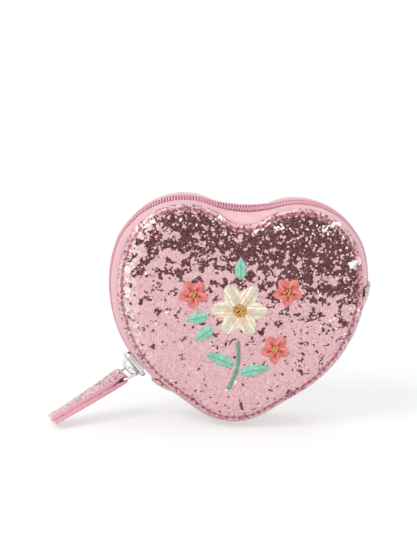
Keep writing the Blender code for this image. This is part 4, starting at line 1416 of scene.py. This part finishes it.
def strap_mesh(hardware):
    """Straight folded strap along X: material 0 on its faces, 1 on its edges and 2 at its tip."""
    line = folded_line(hardware)
    points = [Vector((x, 0.0, z)) for x, z, _ in line]
    path = []
    for index, (x, _, thickness) in enumerate(line):
        widening = min(max(x / hardware.open_length, 0.0), 1.0)
        width = hardware.neck_width + (hardware.pull_width - hardware.neck_width) * widening
        path.append((points[index], outwards(points, index),
                     TO_BACK * (width / hardware.pull_width), thickness))
    strap = bar(path, strap_profile(hardware.pull_width, hardware.pull_edge, count=4))
    for face in strap.faces:
        sideways = abs(face.normal.y) > EDGE_FACING
        at_tip = face.calc_center_median().x > hardware.pull_length - SLOPE_STEP
        face.material_index = 2 if at_tip else 1 if sideways else 0
    run = hardware.pull_length - hardware.core_inset - hardware.open_length
    path = [(Vector((hardware.open_length + run * index / STRAP_STEPS, 0.0, 0.0)),
             Vector((0.0, 0.0, 1.0)), TO_BACK, 2 * hardware.layer_gap)
            for index in range(STRAP_STEPS + 1)]
    inner_width = hardware.pull_width - 2 * hardware.core_inset
    core = bar(path, strap_profile(inner_width, hardware.pull_edge / 2, count=2))
    for face in core.faces:
        face.material_index = 1
    return join_meshes([strap, core])


def bend_strap(strap, hardware):
    """Bank, bow and sag the strap so that it hangs from the ring with its tip on the floor."""
    tip_lift = hardware.pull_width / 2 * math.sin(hardware.bank) + hardware.tip_lift
    for vert in strap.verts:
        x, y, z = vert.co
        share = max(x / hardware.pull_length, 0.0)
        twist = hardware.bank * share ** BANK_POWER
        lift = tip_lift * share ** LIFT_POWER - 4 * hardware.sag * share * (1 - share)
        vert.co.y = y * math.cos(twist) - z * math.sin(twist) + hardware.bow * share ** 2
        vert.co.z = z * math.cos(twist) + y * math.sin(twist) + lift


class PURSE_OT_pull(bpy.types.Operator):
    """Folded glitter strap with painted edges"""
    bl_idname = "purse.pull"
    bl_label = "Pull strap"

    def execute(self, context):
        hardware = context.scene.purse_hardware
        colours = context.scene.purse_colours
        strap = strap_mesh(hardware)
        bend_strap(strap, hardware)
        bmesh.ops.transform(strap, matrix=swing_matrix("pull_strap", "pull_swing"), verts=strap.verts)
        # The pull's white flakes are painted highlights.
        finishes = [glitter_finish("Glitter pull", plum_least=0.13, painted_glint_least=0.02),
                    leather_finish("Edge paint", colours.paint, size=0.0006, roughness=0.36, coat=0.35),
                    # The end face is painted paler than the edge paint: painted light where it is lit.
                    leather_finish("Cut end", colours.cut, size=0.0006, roughness=0.5)]
        piece = add_piece("folded_pull", strap, finishes, sharp=60)
        seat(piece, "pull_strap", "glitter", "pull_strap")
        return {"FINISHED"}


# Embroidery

def on_panel(body, x, z, lift):
    """Point over the front panel's padded face."""
    return Vector((x, middle_y - plateau_depth - body.swell(x, z) - lift, z))


def domed(offset):
    """Height of a rounded section, offset running from -1 to 1 across it."""
    return max(0.0, 1 - offset * offset) ** 0.5


def satin_patch(body, base, along, size, width_at, lengthways, slant=0.0):
    """Domed patch of satin stitch from a base along a direction, its width given along it."""
    embroidery = bpy.context.scene.purse_embroidery
    across = Vector((-along.y, along.x))

    def place(column, row):
        offset = 2 * column / PATCH_COLUMNS - 1
        share = row / PATCH_ROWS
        point = base + along * size * share + across * offset * width_at(share)
        dome = domed(offset) * min(1.0, PATCH_ENDS * share, PATCH_ENDS * (1 - share)) ** 0.5
        return on_panel(body, point.x, point.y, embroidery.puff * dome - embroidery.bed)

    def uv(column, row):
        offset = (2 * column / PATCH_COLUMNS - 1) * width_at(row / PATCH_ROWS) / MILLIMETRE
        run = row / PATCH_ROWS * size / MILLIMETRE
        return (offset, run) if lengthways else (run + slant * abs(offset), offset)

    return close(mapped_grid(PATCH_COLUMNS, PATCH_ROWS, place, uv))


def knots(body, centre, reach, size):
    """Cluster of knots in a flower's middle, spread like seeds."""
    bm = bmesh.new()
    puff = bpy.context.scene.purse_embroidery.puff
    count = max(1, round((2 * reach / size) ** 2 * KNOT_CROWDING))
    for index in range(count):
        turn = index * GOLDEN_ANGLE
        away = reach * math.sqrt((index + 0.5) / count)
        spot = on_panel(body, centre.x + away * math.cos(turn), centre.z + away * math.sin(turn), puff)
        flattened = Matrix.Diagonal((size / 2, size / KNOT_FLATNESS, size / 2, 1.0))
        bead(bm, Matrix.Translation(spot) @ flattened, segments=10, rings=8)
    bmesh.ops.recalc_face_normals(bm, faces=bm.faces)
    return bm


def petal_direction(index, count, fan=0.0):
    """Direction of a petal in X and Z, or of a stitch that fans off it."""
    turn = math.pi * (2 * index + 1) / count + fan
    return Vector((math.sin(turn), math.cos(turn)))


def petals_of(body, centre, reach, count):
    """Ring of satin petals."""
    start = reach * PETAL_START
    half_width = reach * PETAL_BELLY * math.tan(math.pi / count) * PETAL_FULLNESS

    def width_at(share):
        belly = PETAL_NECK + (1 - PETAL_NECK) * math.sin(math.pi * share ** PETAL_POWER)
        return half_width * belly * min(1.0, PETAL_TIP * (1 - share) + PETAL_TIP_LEAST) ** 0.5

    parts = []
    for index in range(count):
        along = petal_direction(index, count)
        base = Vector((centre.x, centre.z)) + along * start
        parts.append(satin_patch(body, base, along, reach * (PETAL_END - PETAL_START), width_at, True))
    return join_meshes(parts)


def veins_of(body, centre, reach, count):
    """Long shading stitches that run out along each petal."""
    bm = bmesh.new()
    embroidery = bpy.context.scene.purse_embroidery
    lift = embroidery.puff - embroidery.bed * VEIN_BED
    for index in range(count):
        for fan in (-1, 0, 1):
            along = petal_direction(index, count, fan * VEIN_FAN)
            run = reach * (VEIN_END - (VEIN_STAGGER if fan else 0.0) - VEIN_START)
            middle = Vector((centre.x, centre.z)) + along * (reach * VEIN_START + run / 2)
            matrix = frame_matrix(on_panel(body, middle.x, middle.y, lift),
                                  Vector((along.x, 0.0, along.y)), -TO_BACK)
            stitch(bm, matrix, (run / 2, VEIN_WIDTH / 2, VEIN_WIDTH / 3), rings=10)
    return bm


class PURSE_OT_flowers(bpy.types.Operator):
    """Cream flower and coral blossoms in satin stitch, with knotted middles"""
    bl_idname = "purse.flowers"
    bl_label = "Flowers"

    def execute(self, context):
        body = PurseBody()
        colours = context.scene.purse_colours
        sizes = context.scene.purse_embroidery
        gold = thread_finish("Gold thread", colours.gold, SHADING_PITCH)
        cream = (sizes.flower_petals, "thread_cream",
                 thread_finish("Cream thread", colours.cream, SATIN_PITCH),
                 thread_finish("Peach thread", colours.peach, SHADING_PITCH))
        coral = (sizes.blossom_petals, "thread_coral",
                 thread_finish("Coral thread", colours.coral, SATIN_PITCH),
                 thread_finish("Red thread", colours.red, SHADING_PITCH))
        flowers = {"embroidered_flower": cream, "embroidered_blossom_1": coral,
                   "embroidered_blossom_2": coral, "embroidered_blossom_3": coral}
        for node_name, (petals, slot, satin, shading) in flowers.items():
            centre = middle_of(node_name)
            reach = max(Vector((spot.x - centre.x, spot.z - centre.z)).length
                        for spot in corners_of(node_name))
            piece = add_piece(node_name + "_petals", petals_of(body, centre, reach, petals), [satin])
            seat(piece, "front_case", slot, node_name)
            piece = add_piece(node_name + "_veins", veins_of(body, centre, reach, petals), [shading])
            seat(piece, "front_case", slot)
            middle = knots(body, centre, reach * KNOTS_REACH, sizes.knot)
            piece = add_piece(node_name + "_knots", middle, [gold])
            seat(piece, "front_case", slot)
        return {"FINISHED"}


def leaf_ends(node_name, stalk):
    """Both ends of a packed leaf in X and Z, the one nearer its stalk first."""
    spots = [Vector((spot.x, spot.z)) for spot in corners_of(node_name)]
    base, tip = max(((a, b) for a in spots for b in spots), key=lambda ends: (
        round((ends[0] - ends[1]).length, 6), -round(ends[0].x, 6)))
    if (tip - stalk).length < (base - stalk).length:
        base, tip = tip, base
    return base, tip


def stem_mesh(body, sizes):
    """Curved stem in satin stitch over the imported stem's middle line."""
    levels = {}
    for spot in corners_of("embroidered_stem"):
        levels.setdefault(round(spot.z, 5), []).append(spot.x)
    middle = [Vector((sum(xs) / len(xs), z)) for z, xs in sorted(levels.items())]
    run = (middle[-1].y - middle[0].y) / MILLIMETRE

    def offset_at(column):
        return (2 * column / STEM_COLUMNS - 1) * sizes.stem_width / 2

    def place(column, row):
        spot = row / STEM_ROWS * (len(middle) - 1)
        index = min(int(spot), len(middle) - 2)
        point = middle[index].lerp(middle[index + 1], spot - index)
        dome = domed(2 * column / STEM_COLUMNS - 1)
        return on_panel(body, point.x + offset_at(column), point.y, sizes.puff * dome - sizes.bed)

    def uv(column, row):
        offset = offset_at(column) / MILLIMETRE
        return (row / STEM_ROWS * run + STEM_SLANT * offset, offset)

    return close(mapped_grid(STEM_COLUMNS, STEM_ROWS, place, uv))


class PURSE_OT_leaves(bpy.types.Operator):
    """Mint leaves with teal veins, and the stem"""
    bl_idname = "purse.leaves"
    bl_label = "Leaves and stem"

    def execute(self, context):
        body = PurseBody()
        colours = context.scene.purse_colours
        sizes = context.scene.purse_embroidery
        mint = thread_finish("Mint thread", colours.mint, SATIN_PITCH)
        teal = thread_finish("Teal thread", colours.teal, SHADING_PITCH)

        def width_at(share):
            return sizes.leaf_width / 2 * math.sin(math.pi * share ** LEAF_POWER) + LEAF_LEAST

        for number in range(1, 6):
            node_name = "embroidered_leaf_{}".format(number)
            stalk = middle_of("embroidered_stem" if number > 3 else "embroidered_flower")
            base, tip = leaf_ends(node_name, Vector((stalk.x, stalk.z)))
            run = tip - base
            leaf = satin_patch(body, base, run.normalized(), run.length, width_at, False, LEAF_SLANT)
            piece = add_piece("mint_leaf_{}".format(number), leaf, [mint])
            seat(piece, "front_case", "thread_mint", node_name)
            middle = base.lerp(tip, LEAF_VEIN_MIDDLE)
            spot = on_panel(body, middle.x, middle.y, sizes.puff - sizes.bed)
            vein = bmesh.new()
            stitch(vein, frame_matrix(spot, Vector((run.x, 0.0, run.y)), -TO_BACK),
                   (run.length * LEAF_VEIN_REACH, LEAF_VEIN_WIDTH, LEAF_VEIN_RISE), rings=12)
            piece = add_piece("leaf_vein_{}".format(number), vein, [teal])
            seat(piece, "front_case", "thread_mint")

        finish = thread_finish("Stem thread", colours.teal, STEM_PITCH)
        piece = add_piece("mint_stem", stem_mesh(body, sizes), [finish])
        seat(piece, "front_case", "thread_mint", "embroidered_stem")
        return {"FINISHED"}


# Stage

class PURSE_OT_stage(bpy.types.Operator):
    """White floor and world, soft lamps and the photograph's camera"""
    bl_idname = "purse.stage"
    bl_label = "Stage"

    white = (1.0, 1.0, 1.0, 1.0)
    camera_place = (-0.0501, -0.7770, 0.2724)
    camera_target = (-0.0010, 0.0077, 0.0682)
    camera_roll = math.radians(3.1)
    camera_lens = 123.5
    camera_sensor = 36.0
    lamp_target = (0.0, 0.0, 0.05)
    # Lamps as far away as the sun, each with its place, the angle it spreads over and its strength
    suns = {"key_lamp": ((-0.95, -0.75, 1.25), 28.0, 1.32),
            "fill_lamp": ((0.95, -0.9, 0.6), 40.0, 0.48),
            "top_lamp": ((0.25, 0.25, 1.3), 35.0, 0.66)}
    side_lamp_place = (-0.32, -0.30, 0.17)
    side_lamp_size = 0.16
    side_lamp_energy = 0.13
    world_strength = 0.56
    floor_size = 4.0
    floor_drop = 0.0002
    floor_grey = 0.86
    floor_glow = 1.12
    floor_glow_share = 0.48

    def execute(self, context):
        scene = context.scene
        scene.view_settings.view_transform = "Standard"
        self.make_camera(scene)
        self.make_world(scene)
        self.make_floor()
        for name, (place, spread, strength) in self.suns.items():
            lamp = bpy.data.lights.new(name, "SUN")
            lamp.angle = math.radians(spread)
            lamp.energy = strength
            self.place_lamp(scene, lamp, Vector(place))
        side = bpy.data.lights.new("side_lamp", "AREA")
        side.size = self.side_lamp_size
        side.energy = self.side_lamp_energy
        self.place_lamp(scene, side, Vector(self.side_lamp_place))
        return {"FINISHED"}

    def make_camera(self, scene):
        camera = bpy.data.objects.new("camera", bpy.data.cameras.new("camera"))
        camera.data.lens = self.camera_lens
        camera.data.sensor_width = self.camera_sensor
        camera.location = self.camera_place
        sight = Vector(self.camera_target) - Vector(self.camera_place)
        turn = sight.to_track_quat("-Z", "Y").to_matrix() @ Matrix.Rotation(self.camera_roll, 3, "Z")
        camera.rotation_euler = turn.to_euler()
        scene.collection.objects.link(camera)
        scene.camera = camera

    def seen(self, tree):
        """1 for what the camera, a reflection or glass sees, and 0 for what only lights."""
        path = node(tree, "LightPath").outputs
        seen = maths(tree, "MAXIMUM", path["Is Camera Ray"], path["Is Glossy Ray"])
        return maths(tree, "MAXIMUM", seen, path["Is Transmission Ray"])

    def make_world(self, scene):
        world = bpy.data.worlds.new("Studio")
        world.use_nodes = True
        tree = world.node_tree
        soft = feed(tree, tree.nodes["Background"],
                    {"Color": self.white, "Strength": self.world_strength})
        backdrop = node(tree, "Background", {"Color": self.white, "Strength": 1.0})
        mixed = node(tree, "MixShader", {0: self.seen(tree), 1: soft.outputs[0], 2: backdrop.outputs[0]})
        tree.links.new(mixed.outputs[0], tree.nodes["World Output"].inputs["Surface"])
        scene.world = world

    def make_floor(self):
        bm = bmesh.new()
        bmesh.ops.create_grid(bm, x_segments=1, y_segments=1, size=self.floor_size)
        bmesh.ops.translate(bm, verts=bm.verts, vec=(0.0, 0.0, cad_low.z - self.floor_drop))
        made = bpy.data.materials.new("White floor")
        made.use_nodes = True
        tree = made.node_tree
        paint = feed(tree, tree.nodes["Principled BSDF"], {
            "Base Color": (self.floor_grey, self.floor_grey, self.floor_grey, 1.0), "Roughness": 0.9,
            "Specular IOR Level": 0.0})
        glow = node(tree, "Emission", {"Color": self.white, "Strength": self.floor_glow})
        share = maths(tree, "MULTIPLY", self.seen(tree), self.floor_glow_share)
        mixed = node(tree, "MixShader", {0: share, 1: paint.outputs[0], 2: glow.outputs[0]})
        tree.links.new(mixed.outputs[0], tree.nodes["Material Output"].inputs["Surface"])
        floor = add_piece("floor", bm, [made], smooth=False)

    def place_lamp(self, scene, data, place):
        lamp = bpy.data.objects.new(data.name, data)
        lamp.location = place
        lamp.rotation_euler = (Vector(self.lamp_target) - place).to_track_quat("-Z", "Y").to_euler()
        scene.collection.objects.link(lamp)


class PURSE_PT_panel(bpy.types.Panel):
    """Lists the purse's operators"""
    bl_label = "Heart coin purse"
    bl_idname = "PURSE_PT_panel"
    bl_space_type = "VIEW_3D"
    bl_region_type = "UI"
    bl_category = "Purse"

    def draw(self, context):
        for operator in OPERATORS:
            self.layout.operator(operator.bl_idname)


GROUPS = {"purse_shape": PurseShape, "purse_sewing": PurseSewing, "purse_hardware": PurseHardware,
          "purse_embroidery": PurseEmbroidery, "purse_colours": PurseColours}
OPERATORS = [PURSE_OT_stage, PURSE_OT_panels, PURSE_OT_side_strips, PURSE_OT_gusset, PURSE_OT_lining,
             PURSE_OT_topstitching, PURSE_OT_zip, PURSE_OT_slider, PURSE_OT_ring, PURSE_OT_pull,
             PURSE_OT_flowers, PURSE_OT_leaves]


def register():
    for name, group in GROUPS.items():
        bpy.utils.register_class(group)
        setattr(bpy.types.Scene, name, bpy.props.PointerProperty(type=group))
    for made in OPERATORS + [PURSE_PT_panel]:
        bpy.utils.register_class(made)


def unregister():
    for made in reversed(OPERATORS + [PURSE_PT_panel]):
        bpy.utils.unregister_class(made)
    for name, group in GROUPS.items():
        delattr(bpy.types.Scene, name)
        bpy.utils.unregister_class(group)


def main():
    register()
    for operator in OPERATORS:
        module, name = operator.bl_idname.split(".")
        getattr(getattr(bpy.ops, module), name)()


if __name__ == "__main__":
    main()
